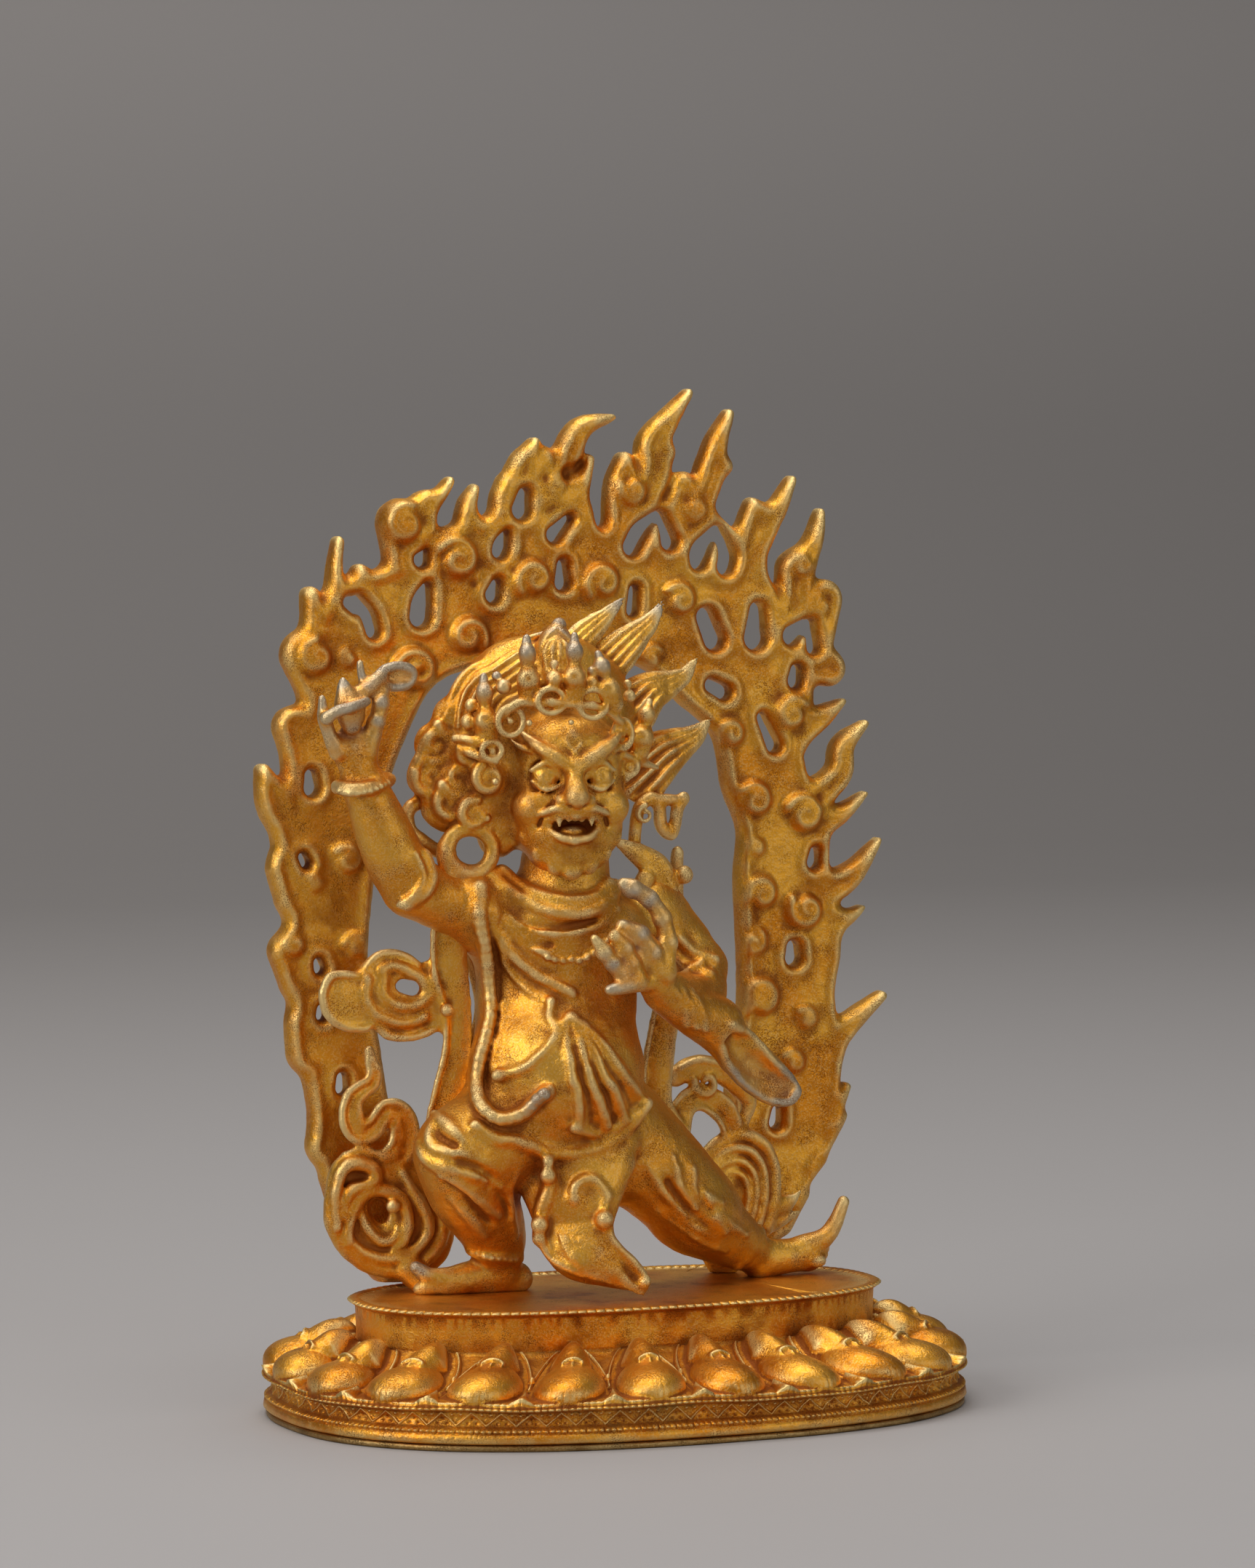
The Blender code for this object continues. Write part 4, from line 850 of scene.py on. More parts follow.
@dataclass
class ClosingSheet:
    """The thin sheet that closes the underside, a wavering oval a little wider than the foot band."""

    length: float = 39.7
    depth: float = 28.3
    thickness: float = 0.35
    columns: int = 720

    def build(self, oval: LotusBase, finish: Gilding) -> bpy.types.Object:
        """Lays the sheet's rounded edge round the base's oval and closes it above and below."""
        share = (np.arange(self.columns) / self.columns).astype(np.float32)
        inset = np.array([6.0, 0.6, 0.06, 0.0, 0.0, 0.06, 0.6, 6.0])
        level = self.thickness * np.array([0.0, 0.0, 0.06, 0.3, 0.7, 0.94, 1.0, 1.0])
        flat = oval.oval(share, self.length - 2 * inset, self.depth - 2 * inset)
        waver = 0.04 * (1 + np.sin(2 * math.pi * 5 * share) * np.sin(2 * math.pi * (11 * share + 0.2)))
        near = np.clip(1 - inset / 2, 0, 1)[None, :, None]
        flat = flat * (1 - waver[:, None, None] / 14 * near)
        points = np.concatenate([flat, np.broadcast_to(level[None, :, None], flat.shape[:2] + (1,))],
                                axis=-1)
        piece = carried_round("closing_sheet", points, 0.0, self.thickness)
        finish.dress(piece)
        mount(piece, "copper_sheet", "base_plate")
        return piece


# The figure


@dataclass(frozen=True)
class Sight:
    """Places read in the line of sight on an upright plane, brought to their own depth.

    Args:
        eye: the viewing point, in millimetres.
        plane: Y of the upright plane that most places are read on.
    """

    eye: Row = (-115.744, -272.676, 47.447)
    plane: float = -1.0

    def place(self, x: Array, z: Array, y: Array, plane: float | None = None) -> Array:
        """Real places of points that are seen at x and z on the plane.

        A point and its reading lie on one ray from the eye, so both offsets from the eye grow
        with the share of the depths.

        Args:
            x: reading across.
            z: reading up.
            y: the point's own depth.
            plane: Y of the plane, where it isn't the usual one.

        Returns:
            Points in millimetres, along a last axis of three.
        """
        plane = self.plane if plane is None else plane
        ratio = (np.asarray(y, np.float32) - self.eye[1]) / (plane - self.eye[1])
        across = self.eye[0] + ratio * (np.asarray(x) - self.eye[0])
        upward = self.eye[2] + ratio * (np.asarray(z) - self.eye[2])
        return np.stack(np.broadcast_arrays(across, y, upward), axis=-1).astype(np.float32)


@dataclass
class Casting:
    """Wax that is worked from places read in the line of sight.

    Args:
        wax: its grid.
        sight: where it is seen from.
    """

    wax: Wax
    sight: Sight = field(default_factory=Sight)

    def depth(self, x: Row, z: Row) -> Array:
        """Depth at which the line of sight through each place first meets the wax."""
        trial = np.arange(self.wax.low[1], self.wax.high[1], 0.08, dtype=np.float32)
        points = self.sight.place(np.asarray(x)[:, None], np.asarray(z)[:, None], trial[None])
        gap = self.wax.sample(self.wax.distance, points.reshape(-1, 3)).reshape(len(points), -1)
        met = gap < 0
        found = met.any(axis=1)
        order = np.arange(len(points))
        return np.interp(order, order[found], trial[np.argmax(met, axis=1)[found]]).astype(np.float32)

    def bar(self, rows: Sequence[Row], plane: float | None = None, **form: object) -> None:
        """A bar whose rows are x and z as read, its own depth and its half width."""
        x, z, y, half = np.asarray(rows, np.float32).T
        self.wax.rod(np.column_stack([self.sight.place(x, z, y, plane), half]), **form)

    def lay(self, rows: Sequence[Row], half: float | Row, lift: float = 0.0, **form: object) -> None:
        """A bar laid on what is there already, through places as read.

        Args:
            rows: x and z of each place.
            half: half width, or one for each place.
            lift: how far its middle stands out of the surface.
            form: further arguments of a bar.
        """
        flat = np.column_stack([rows, np.broadcast_to(half, len(rows))])
        x, z, width = through(flat, 4).T
        y = self.depth(x, z)
        smooth = np.convolve(np.pad(y, 2, mode="edge"), np.ones(5) / 5, mode="valid")
        self.wax.rod(np.column_stack([self.sight.place(x, z, smooth - lift), width]), steps=2, **form)

    def knob(self, x: float, z: float, y: float, radii: Row | float, plane: float | None = None,
             **form: object) -> None:
        """A ball at a place as read, at its own depth."""
        self.wax.ball(self.sight.place(x, z, y, plane), radii, **form)

    def stud(self, x: float, z: float, radius: Row | float, lift: float = 0.0, **form: object) -> None:
        """A ball set on what is there already."""
        self.wax.ball(self.sight.place(x, z, self.depth([x], [z])[0] - lift), radius, **form)

    def string(self, rows: Sequence[Row], radius: float, pitch: float, lift: float = 0.0) -> None:
        """Beads in a row on what is there already."""
        x, z = through(np.asarray(rows, np.float32), 6).T
        y = self.depth(x, z) - lift
        self.wax.beads(np.column_stack([self.sight.place(x, z, y), np.full(len(x), radius)]), pitch)

    def wear_through(self, piece: bpy.types.Object, places: Sequence[Row]) -> None:
        """Marks where handling has worn the gilding off: x and z as read, depth and reach of each place."""
        x, z, y, reach = np.asarray(places, np.float32).T
        away = np.linalg.norm(corners_of(piece)[:, None] - self.sight.place(x, z, y)[None], axis=2)
        paint(piece, "worn", np.clip(1.6 * (1 - away / reach), 0, 1).max(axis=1))

    def spiral(self, x: float, z: float, y: float, radius: float, start: float, turns: float,
               half: float, plane: float | None = None, end: float = 0.25, **form: object) -> None:
        """A bar that curls inward about a place as read.

        Args:
            x: reading across of the middle.
            z: reading up of the middle.
            y: its depth.
            radius: radius of the outer end.
            start: direction of the outer end, in degrees from +X.
            turns: turns inward, anticlockwise as seen where more than 0.
            half: half width of the bar.
            plane: Y of the plane that the place is read on.
            end: radius of the inner end, as a share of the outer one.
            form: further arguments of a bar.
        """
        share = np.linspace(0, 1, int(9 * abs(turns)) + 5)
        angle = math.radians(start) + 2 * math.pi * turns * share
        reach = radius * (1 - (1 - end) * share)
        rows = np.column_stack([x + reach * np.cos(angle), z + reach * np.sin(angle),
                                np.full(len(share), y), half * (1 - 0.3 * share)])
        self.bar(rows, plane, **{"steps": 2, **form})


@dataclass
class GuardianBody:
    """Trunk, limbs, garments and jewels. A place is x and z as read, with its depth where needed."""

    floor: float = 6.5
    toward: Row = (-0.39, -0.92, 0.0)
    # Trunk, from the hips up: x, z, depth, half sizes and turn
    masses: tuple[tuple, ...] = (
        (-3.5, 15.8, 0.9, (5.2, 3.4, 3.0), 0), (-4.1, 19.1, -0.5, (4.9, 4.1, 4.5), -20),
        (-4.1, 23.2, 0.4, (4.5, 3.1, 4.2), -20), (-4.1, 26.6, 0.4, (5.2, 3.1, 3.0), -15),
        (-8.3, 28.0, 0.9, (2.0, 1.8, 1.9), 0), (1.5, 27.6, 0.9, (2.0, 1.8, 1.9), 0),
    )
    garland: tuple[Row, ...] = (
        (-8.6, 29.3), (-8.6, 27.5), (-8.3, 26.0), (-8.1, 24.0), (-8.0, 22.5), (-8.2, 21.4), (-8.6, 20.0),
        (-8.8, 19.0), (-8.8, 18.0), (-8.5, 17.2), (-7.8, 16.6), (-7.0, 16.45), (-6.0, 16.8), (-5.2, 17.5),
        (-4.6, 17.9),
    )
    # Folds of the sash that fall from its knot
    falls: tuple[tuple[Row, ...], ...] = (
        ((-3.6, 21.7), (-3.4, 20.3), (-3.2, 19.2), (-3.1, 18.4), (-2.85, 17.9), (-2.75, 16.8),
         (-2.85, 16.0)),
        ((-3.0, 21.6), (-2.6, 20.4), (-2.2, 19.0), (-1.9, 18.0), (-1.6, 17.4), (-1.3, 16.5), (-1.1, 15.9)),
        ((-2.7, 21.6), (-1.8, 20.0), (-1.2, 18.6), (-0.7, 17.9), (-0.4, 17.2), (-0.1, 16.2)),
        ((-2.4, 21.6), (-1.2, 20.3), (0.0, 18.6), (0.9, 17.4), (1.1, 16.9)),
    )
    # Collar and draped edges across the chest: places and half width
    drapes: tuple[tuple, ...] = (
        (((-7.3, 30.2), (-6.4, 29.4), (-5.4, 28.9), (-3.6, 28.4), (-1.9, 28.5), (-1.0, 29.3)), 0.40),
        (((-8.2, 30.2), (-7.6, 29.6), (-6.5, 28.8), (-4.5, 27.9), (-2.3, 27.7), (-1.0, 28.3), (-0.5, 29.2)),
         0.42),
        (((-7.9, 28.6), (-6.8, 27.6), (-5.4, 26.9), (-3.6, 26.6), (-1.8, 26.9), (-0.4, 27.9)), 0.2),
        (((-8.0, 28.2), (-7.2, 27.2), (-6.2, 26.4), (-5.4, 25.9), (-4.6, 25.5)), 0.26),
        (((-7.9, 28.0), (-7.6, 26.8), (-6.9, 25.8), (-6.0, 24.9), (-5.0, 24.2), (-4.0, 23.7), (-3.2, 23.3)),
         0.34),
        (((-7.4, 26.0), (-7.0, 24.8), (-6.2, 23.9), (-5.2, 23.2), (-4.4, 22.8)), 0.18),
    )

    # Worn hands, thunderbolt, rim of the drape and end of the garland: x, z, depth and reach
    worn: tuple[Row, ...] = (
        (-16.0, 39.5, -1.0, 3.2), (-13.5, 41.0, -0.5, 2.2), (0.8, 28.2, -5.2, 1.9), (1.2, 26.2, -5.4, 1.8),
        (-0.6, 24.3, -5.5, 1.7), (10.3, 17.3, -2.0, 2.6), (7.4, 17.8, -2.8, 2.2), (-5.2, 17.5, -5.0, 1.6),
        (-12.2, 8.4, 2.3, 1.0),
    )

    def trunk(self, form: Casting) -> None:
        """The mass of the trunk, the shoulders and the neck."""
        for x, z, y, radii, turn in self.masses:
            form.knob(x, z, y, radii, turn=turn, blend=1.3)
        form.bar([(-3.7, 28.0, 0.5, 2.7), (-3.5, 32.0, 0.4, 2.3)], blend=1.0)
        form.knob(-2.9, 13.6, 0.2, (3.2, 2.2, 2.6), blend=1.0)

    def right_leg(self, form: Casting) -> None:
        """The bent leg on the viewer's left, in a full trouser drawn in above the foot."""
        form.bar([(-4.6, 16.2, 0.6, 3.0), (-7.6, 15.6, -0.2, 3.0), (-9.6, 14.7, -0.7, 2.55)], blend=1.2)
        form.bar([(-9.6, 14.6, -0.6, 2.6), (-9.3, 12.9, 0.1, 2.4), (-8.3, 11.2, 1.0, 2.05),
                  (-7.7, 9.9, 1.6, 1.7)], blend=0.8)
        form.bar([(-9.2, 9.3, 1.2, 0.3), (-7.9, 8.9, 0.2, 0.34), (-6.3, 8.7, 0.8, 0.3)], blend=0.3)
        form.bar([(-7.6, 9.2, 1.7, 1.1), (-7.3, 8.2, 1.8, 1.05)], blend=0.4)
        self.foot(form, ((-6.5, 7.6, 2.0), (-8.6, 7.8, 2.0), (-10.6, 7.6, 2.1)), (0.95, 1.0, 0.8))
        toes = (((-10.4, 7.9), (-11.6, 8.0), (-12.4, 8.5)), ((-10.5, 7.5), (-11.6, 7.4), (-12.2, 7.3)))
        for (x0, z0), (x1, z1), (x2, z2) in toes:
            form.bar([(x0, z0, 1.9, 0.55), (x1, z1, 2.1, 0.46), (x2, z2, 2.4, 0.42)], blend=0.15)
        form.string([(-9.1, 9.15), (-7.8, 8.75), (-6.3, 8.6)], 0.2, 0.42, lift=0.05)
        folds = (
            (((-11.5, 16.4), (-11.6, 15.7), (-11.4, 15.1), (-10.6, 14.8), (-9.6, 14.6)), 0.34),
            (((-11.4, 17.0), (-10.9, 16.6), (-10.2, 16.0), (-9.6, 15.4)), 0.30),
            (((-12.2, 15.4), (-12.0, 14.8), (-11.4, 14.2), (-10.4, 13.9), (-8.9, 13.3)), 0.38),
            (((-10.9, 13.5), (-10.1, 13.2), (-9.4, 12.6), (-8.5, 11.9), (-7.5, 11.1)), 0.34),
            (((-10.3, 12.2), (-9.6, 11.5), (-8.9, 10.7), (-8.3, 10.0)), 0.30),
            (((-8.3, 13.2), (-7.6, 12.6), (-6.9, 11.8)), 0.24),
            (((-6.4, 13.6), (-6.9, 12.4), (-6.7, 10.8), (-6.5, 9.8)), 0.24),
        )
        self.pleat(form, folds, 0.6)
        for rows in (((-11.3, 15.9), (-10.8, 15.5), (-10.1, 15.1)),
                     ((-10.7, 13.1), (-9.7, 12.4), (-8.8, 11.5), (-8.0, 10.7)),
                     ((-9.9, 14.2), (-8.7, 13.8), (-7.4, 12.9)), ((-8.0, 12.8), (-7.3, 12.0), (-6.9, 11.0))):
            form.lay(rows, 0.22, press=True, blend=0.2)

    def left_leg(self, form: Casting) -> None:
        """The leg stretched out to the viewer's right, with the great toe turned up."""
        form.bar([(-0.6, 15.4, 0.7, 3.2), (2.2, 13.0, 0.4, 2.8), (4.2, 11.0, 0.7, 2.45)], blend=1.2)
        form.bar([(4.1, 11.0, 0.7, 2.4), (5.6, 9.8, 1.1, 2.0), (7.3, 8.7, 1.6, 1.4)], blend=0.8)
        form.bar([(8.3, 9.5, 1.3, 0.3), (7.6, 8.5, 0.4, 0.34), (6.9, 7.6, 0.8, 0.3)], blend=0.3)
        form.bar([(7.6, 8.4, 1.7, 0.95), (8.9, 8.1, 1.9, 0.95)], blend=0.4)
        self.foot(form, ((8.2, 7.7, 1.9), (10.0, 8.0, 1.9), (11.4, 7.9, 2.0)), (1.0, 1.0, 0.85))
        form.bar([(10.9, 8.4, 1.8, 0.75), (12.3, 8.9, 1.7, 0.58), (13.0, 9.8, 1.7, 0.46),
                  (13.5, 10.9, 1.7, 0.38)], blend=0.25)
        for k in range(3):
            form.knob(11.9 + 0.1 * k, 7.6 + 0.35 * k, 1.2 + 0.5 * k, (0.55, 0.4, 0.4), blend=0.12)
        folds = (
            (((4.2, 13.2), (4.3, 12.1), (5.0, 11.6), (5.9, 11.2)), 0.3),
            (((3.0, 13.9), (3.4, 12.2), (4.4, 10.9)), 0.28), (((5.0, 11.2), (5.6, 10.4), (6.2, 9.5)), 0.24),
            (((2.0, 11.0), (3.4, 10.2), (4.8, 9.2), (6.2, 8.4)), 0.26),
            (((1.4, 13.6), (2.4, 12.0), (3.8, 10.6)), 0.24), (((5.9, 10.6), (6.7, 9.8), (7.5, 9.3)), 0.2),
        )
        self.pleat(form, folds, 0.5)
        for rows in (((4.6, 12.3), (4.9, 11.3), (5.4, 10.6)), ((2.6, 12.6), (3.6, 11.2), (5.0, 9.9)),
                     ((2.6, 10.6), (4.0, 9.7), (5.6, 8.8))):
            form.lay(rows, 0.17, press=True, blend=0.2)

    def pleat(self, form: Casting, folds: Sequence[tuple], start: float) -> None:
        """Raised folds, each with its half width, which thins to this share of it at the start."""
        for rows, half in folds:
            form.lay(rows, [half * start] + [half] * (len(rows) - 2) + [half * 0.5], lift=0.05, blend=0.35)

    def foot(self, form: Casting, spine: Sequence[Row], half: Row) -> None:
        """A bare foot: heel, instep and ball."""
        form.bar([(x, z, y, r) for (x, z, y), r in zip(spine, half)], blend=0.3)

    def raised_arm(self, form: Casting) -> None:
        """The arm held up beside the head, with its armlet and bracelet."""
        form.bar([(-8.6, 28.2, 0.8, 1.9), (-10.6, 28.6, 0.6, 1.75), (-12.6, 29.4, 0.2, 1.62)], blend=0.9)
        form.bar([(-12.6, 29.4, 0.2, 1.62), (-13.6, 31.0, 0.0, 1.68), (-14.5, 33.0, -0.2, 1.5),
                  (-15.3, 34.9, -0.4, 1.18)], blend=0.4)
        for shift, half in ((0.0, 0.32), (0.55, 0.2)):
            form.lay([(-11.8 - shift, 31.2), (-11.4 - shift, 30.0), (-11.8 - shift, 29.1),
                      (-12.9 - shift, 28.4)], half, lift=0.12)
        form.bar([(-17.0, 35.0, -0.6, 0.36), (-16.2, 34.8, -1.7, 0.42), (-14.9, 34.9, -1.7, 0.42),
                  (-14.0, 35.4, -0.5, 0.36)], blend=0.2)
        form.bar([(-16.9, 34.9, 0.0, 0.4), (-15.4, 35.2, 1.0, 0.4), (-13.9, 35.3, 0.0, 0.4)], blend=0.2)
        form.string([(-16.9, 34.75), (-16.0, 34.55), (-14.9, 34.7), (-13.9, 35.15)], 0.2, 0.42, lift=0.1)

    def raised_hand(self, form: Casting) -> None:
        """The hand, closed on the thunderbolt with two fingers up."""
        form.bar([(-15.4, 35.0, -0.4, 1.15), (-15.7, 36.0, -0.4, 1.1), (-16.0, 37.1, -0.3, 1.25)], flat=0.72,
                 blend=0.4)
        form.bar([(-16.9, 36.9, -0.6, 0.55), (-17.4, 38.0, -0.8, 0.44), (-17.7, 38.8, -0.9, 0.38),
                  (-17.8, 39.8, -1.0, 0.24)], blend=0.25)
        form.bar([(-15.2, 36.8, -0.6, 0.6), (-14.8, 38.1, -0.8, 0.5), (-14.5, 39.0, -0.9, 0.46),
                  (-14.25, 40.1, -0.8, 0.36)], blend=0.2)
        for x, z in ((-14.65, 38.5), (-14.4, 39.5)):
            form.knob(x, z, -1.0, 0.52, blend=0.1)
        form.bar([(-16.2, 37.6, 0.4, 0.5), (-16.0, 39.0, 0.6, 0.45), (-15.6, 40.0, 0.6, 0.36)], blend=0.25)
        form.knob(-16.1, 38.2, -1.4, (0.85, 0.8, 0.8), press=True, blend=0.3)

    def thunderbolt(self, form: Casting) -> None:
        """The thunderbolt: a spindle with a hub, and a closed crown of prongs at each end."""
        form.bar([(-16.1, 38.3, -0.9, 0.55), (-16.2, 39.2, -0.9, 0.85), (-16.4, 39.9, -0.9, 0.6),
                  (-16.6, 40.9, -0.9, 0.14)], blend=0.15)
        form.bar([(-17.6, 38.7, -1.6, 0.3), (-16.8, 39.1, -1.9, 0.36), (-16.0, 39.3, -1.8, 0.34),
                  (-15.2, 39.6, -1.4, 0.28)], blend=0.12)
        form.knob(-17.5, 38.7, -1.6, 0.42, blend=0.1)
        form.bar([(-15.7, 39.9, -0.9, 0.5), (-14.9, 40.5, -0.8, 0.5), (-14.4, 40.9, -0.6, 0.4)], blend=0.15)
        form.bar([(-15.6, 41.7, -0.7, 0.24), (-15.5, 40.9, -0.7, 0.26), (-15.1, 40.2, -0.7, 0.3)],
                 blend=0.12)
        form.knob(-13.5, 40.9, -0.2, (0.75, 0.3, 0.45), blend=0.15)
        form.bar([(-14.5, 40.8, -0.6, 0.34), (-14.2, 41.3, -0.5, 0.32), (-13.4, 41.5, -0.4, 0.3),
                  (-12.6, 41.2, -0.2, 0.34), (-12.7, 40.5, -0.3, 0.26), (-13.6, 40.3, -0.5, 0.26),
                  (-14.4, 40.6, -0.6, 0.28)], blend=0.12)

    def lowered_arm(self, form: Casting) -> None:
        """The arm bent across the chest, with its armlet and the strap above the elbow."""
        form.bar([(1.4, 27.6, 0.8, 1.85), (3.2, 26.3, 0.9, 1.6), (4.6, 24.6, 0.6, 1.45)], blend=0.9)
        form.bar([(4.6, 24.4, 0.4, 1.45), (4.6, 22.9, -1.2, 1.4), (3.2, 23.0, -3.0, 1.15),
                  (1.9, 23.7, -4.2, 0.95)], blend=0.5)
        form.lay([(3.3, 26.2), (4.3, 25.3), (5.5, 24.9)], 0.3, lift=0.1)
        form.lay([(2.9, 25.4), (3.9, 24.6), (5.3, 24.1)], 0.22, lift=0.1)
        form.lay([(3.1, 23.9), (3.9, 24.4), (4.7, 24.8)], 0.2, lift=0.1)

    def lowered_hand(self, form: Casting) -> None:
        """The warding hand before the chest, two fingers up and two curled."""
        form.bar([(2.0, 23.6, -4.2, 0.9), (1.6, 24.4, -4.5, 1.1), (1.0, 25.2, -4.7, 1.15)], flat=0.75,
                 blend=0.35)
        fingers = (
            ((2.4, 24.3, 0.6), (2.6, 25.9, 0.54), (2.3, 27.3, 0.5), (1.5, 28.4, 0.48), (0.5, 29.0, 0.5),
             (-0.1, 29.3, 0.36)),
            ((2.1, 24.4, 0.55), (1.7, 25.4, 0.58), (0.9, 26.4, 0.56), (-0.1, 26.9, 0.44)),
            ((0.8, 23.9, 0.6), (0.4, 24.8, 0.54), (0.0, 25.7, 0.5), (-0.6, 26.4, 0.4)),
            ((-0.2, 24.3, 0.5), (-0.7, 24.9, 0.46), (-1.2, 25.5, 0.44), (-1.8, 26.3, 0.3)),
        )
        for k, rows in enumerate(fingers):
            form.bar([(x, z, -5.0 - 0.12 * k, r) for x, z, r in rows], blend=0.16)
            for x, z, r in rows[1:-1]:
                form.knob(x, z, -5.05 - 0.12 * k, 1.16 * r, blend=0.1)
        form.bar([(1.6, 23.8, -4.8, 0.55), (0.5, 23.7, -5.4, 0.5), (-0.3, 23.5, -5.6, 0.42),
                  (-0.9, 23.4, -5.6, 0.32)], blend=0.2)
        form.knob(2.4, 24.3, -4.8, 0.7, blend=0.3)

    def sleeve(self, form: Casting) -> None:
        """The drape over the forearm: a cone open to the right, with a long tongue below it."""
        form.bar([(2.1, 23.0, -3.8, 0.85), (3.8, 22.2, -3.2, 1.25), (5.6, 21.3, -2.4, 1.55)], blend=0.3)
        form.bar([(4.4, 23.3, -2.6, 0.24), (5.5, 22.7, -2.8, 0.26), (6.3, 21.5, -2.9, 0.26),
                  (6.4, 20.3, -2.8, 0.26), (5.7, 19.9, -2.7, 0.22)], blend=0.15)
        form.bar([(5.8, 20.7, -2.4, 1.15), (7.2, 19.4, -2.2, 1.35), (8.5, 18.4, -1.9, 1.3),
                  (9.8, 17.6, -1.6, 0.85)], flat=0.42, blend=0.3)
        form.bar([(6.5, 20.4, -3.3, 0.5), (7.5, 19.4, -3.2, 0.8), (8.7, 18.4, -2.9, 0.8),
                  (9.8, 17.7, -2.5, 0.4)], press=True, blend=0.25)
        form.lay([(6.6, 21.2), (7.6, 20.7), (8.3, 20.0), (9.3, 18.9), (10.2, 18.1), (10.6, 17.4)], 0.24,
                 lift=0.12)
        form.lay([(5.9, 19.9), (6.3, 19.0), (7.0, 18.1), (8.0, 17.3), (9.0, 16.8), (10.1, 16.7),
                  (10.6, 17.2)], 0.28, lift=0.14)
        for shift in (0.0, 0.55, 1.1):
            form.lay([(3.0 + shift, 23.4 - 0.2 * shift), (3.6 + shift, 22.4 - 0.2 * shift),
                      (3.8 + shift, 21.2 - 0.2 * shift)], 0.16, lift=0.0)

    def garments(self, form: Casting) -> None:
        """Collar, draped cape, sash with its falling folds, and the hem under the belly."""
        for rows, half in self.drapes:
            form.lay(rows, half, lift=0.35 * half, blend=0.25)
        for rows in (((-7.3, 28.3), (-5.6, 27.2), (-3.6, 27.0), (-1.8, 27.3)),
                     ((-7.4, 27.2), (-6.0, 26.2), (-4.4, 26.0))):
            form.lay(rows, 0.16, press=True, blend=0.25)
        for rows in self.falls:
            width = np.interp(np.linspace(0, 1, len(rows)), [0, 0.5, 1], [0.2, 0.3, 0.34])
            form.lay(rows, width, lift=0.1, blend=0.2)
        for first, second in zip(self.falls, self.falls[1:]):
            count = min(len(first), len(second))
            rows = (np.array(first)[-count:] + np.array(second)[-count:]) / 2
            form.lay(rows[1:], 0.13, press=True, blend=0.12)
        form.lay([(-3.0, 15.75), (-2.0, 15.5), (-1.0, 15.5), (0.2, 16.2), (1.2, 16.8)], 0.3, lift=0.05)
        form.stud(-3.2, 21.9, (0.5, 0.4, 0.4), lift=0.1)
        form.lay([(-4.4, 22.9), (-4.5, 22.0), (-4.1, 21.3), (-4.4, 20.6), (-5.2, 19.8), (-6.2, 19.2),
                  (-7.5, 18.9)], 0.26, lift=0.12)
        form.stud(-7.6, 18.9, 0.38, lift=0.1)
        form.lay([(-7.2, 22.9), (-7.3, 21.6), (-7.7, 20.2), (-7.9, 19.2)], 0.18, lift=0.03)
        form.lay([(-8.9, 16.2), (-7.7, 15.4), (-6.7, 15.3), (-5.6, 14.9), (-4.5, 14.5), (-3.0, 14.4),
                  (-1.6, 14.6), (-0.4, 15.2), (0.6, 16.0), (1.4, 17.0)], 0.34, lift=0.08, blend=0.35)

    def jewels(self, form: Casting) -> None:
        """The garland, and the beads of the necklace and the belt."""
        form.lay(self.garland, 0.45, lift=0.2, blend=0.15)
        form.string(self.garland, 0.40, 0.5, lift=0.24)
        form.string([(-4.6, 25.3), (-3.8, 25.1), (-3.2, 25.15), (-2.6, 25.1), (-1.8, 25.5), (-0.9, 26.2)],
                    0.22, 0.5, lift=0.12)
        form.stud(-4.6, 14.0, 0.34, lift=0.2)

    def skin_apron(self, form: Casting) -> None:
        """The animal skin that hangs between the legs down to its paw."""
        form.bar([(-3.1, 14.8, -1.3, 3.7), (-3.1, 12.8, -2.2, 2.9), (-3.0, 10.8, -2.8, 2.2),
                  (-2.7, 9.3, -3.4, 1.95), (-1.3, 8.2, -3.9, 1.35), (0.3, 7.4, -4.1, 0.85),
                  (1.2, 6.9, -4.2, 0.35)], flat=0.42, face=self.toward, blend=0.4)
        form.lay([(-4.7, 14.2), (-4.5, 12.6), (-5.0, 11.2), (-5.2, 9.8)], (0.32, 0.44, 0.44, 0.34), lift=0.2)
        for x, z, radius in ((-4.6, 13.2, 0.46), (-5.1, 10.5, 0.5), (-5.2, 9.7, 0.36)):
            form.stud(x, z, radius, lift=0.2)
        form.lay([(-5.1, 9.7), (-4.5, 8.7), (-3.4, 8.0), (-2.0, 7.5), (0.2, 6.95), (1.2, 6.6)], 0.24,
                 lift=0.1)
        form.lay([(-1.2, 11.5), (-1.0, 10.4), (-0.8, 9.6), (-0.2, 8.9), (0.6, 8.1), (1.3, 7.2)], 0.24,
                 lift=0.1)
        form.lay([(-1.0, 11.9), (-1.9, 12.9), (-2.9, 12.6), (-3.0, 11.8)], 0.26, lift=0.08)
        form.stud(-1.2, 10.6, 0.52, lift=0.2)
        form.stud(1.3, 6.95, 0.32, lift=0.1)
        for k in range(9):
            x, z = -4.0 + 0.42 * k, 10.1 - 0.17 * k
            form.lay([(x, z), (x + 0.7, z - 1.4), (x + 1.9, z - 2.6)], (0.08, 0.18, 0.1), lift=0.08,
                     blend=0.12)

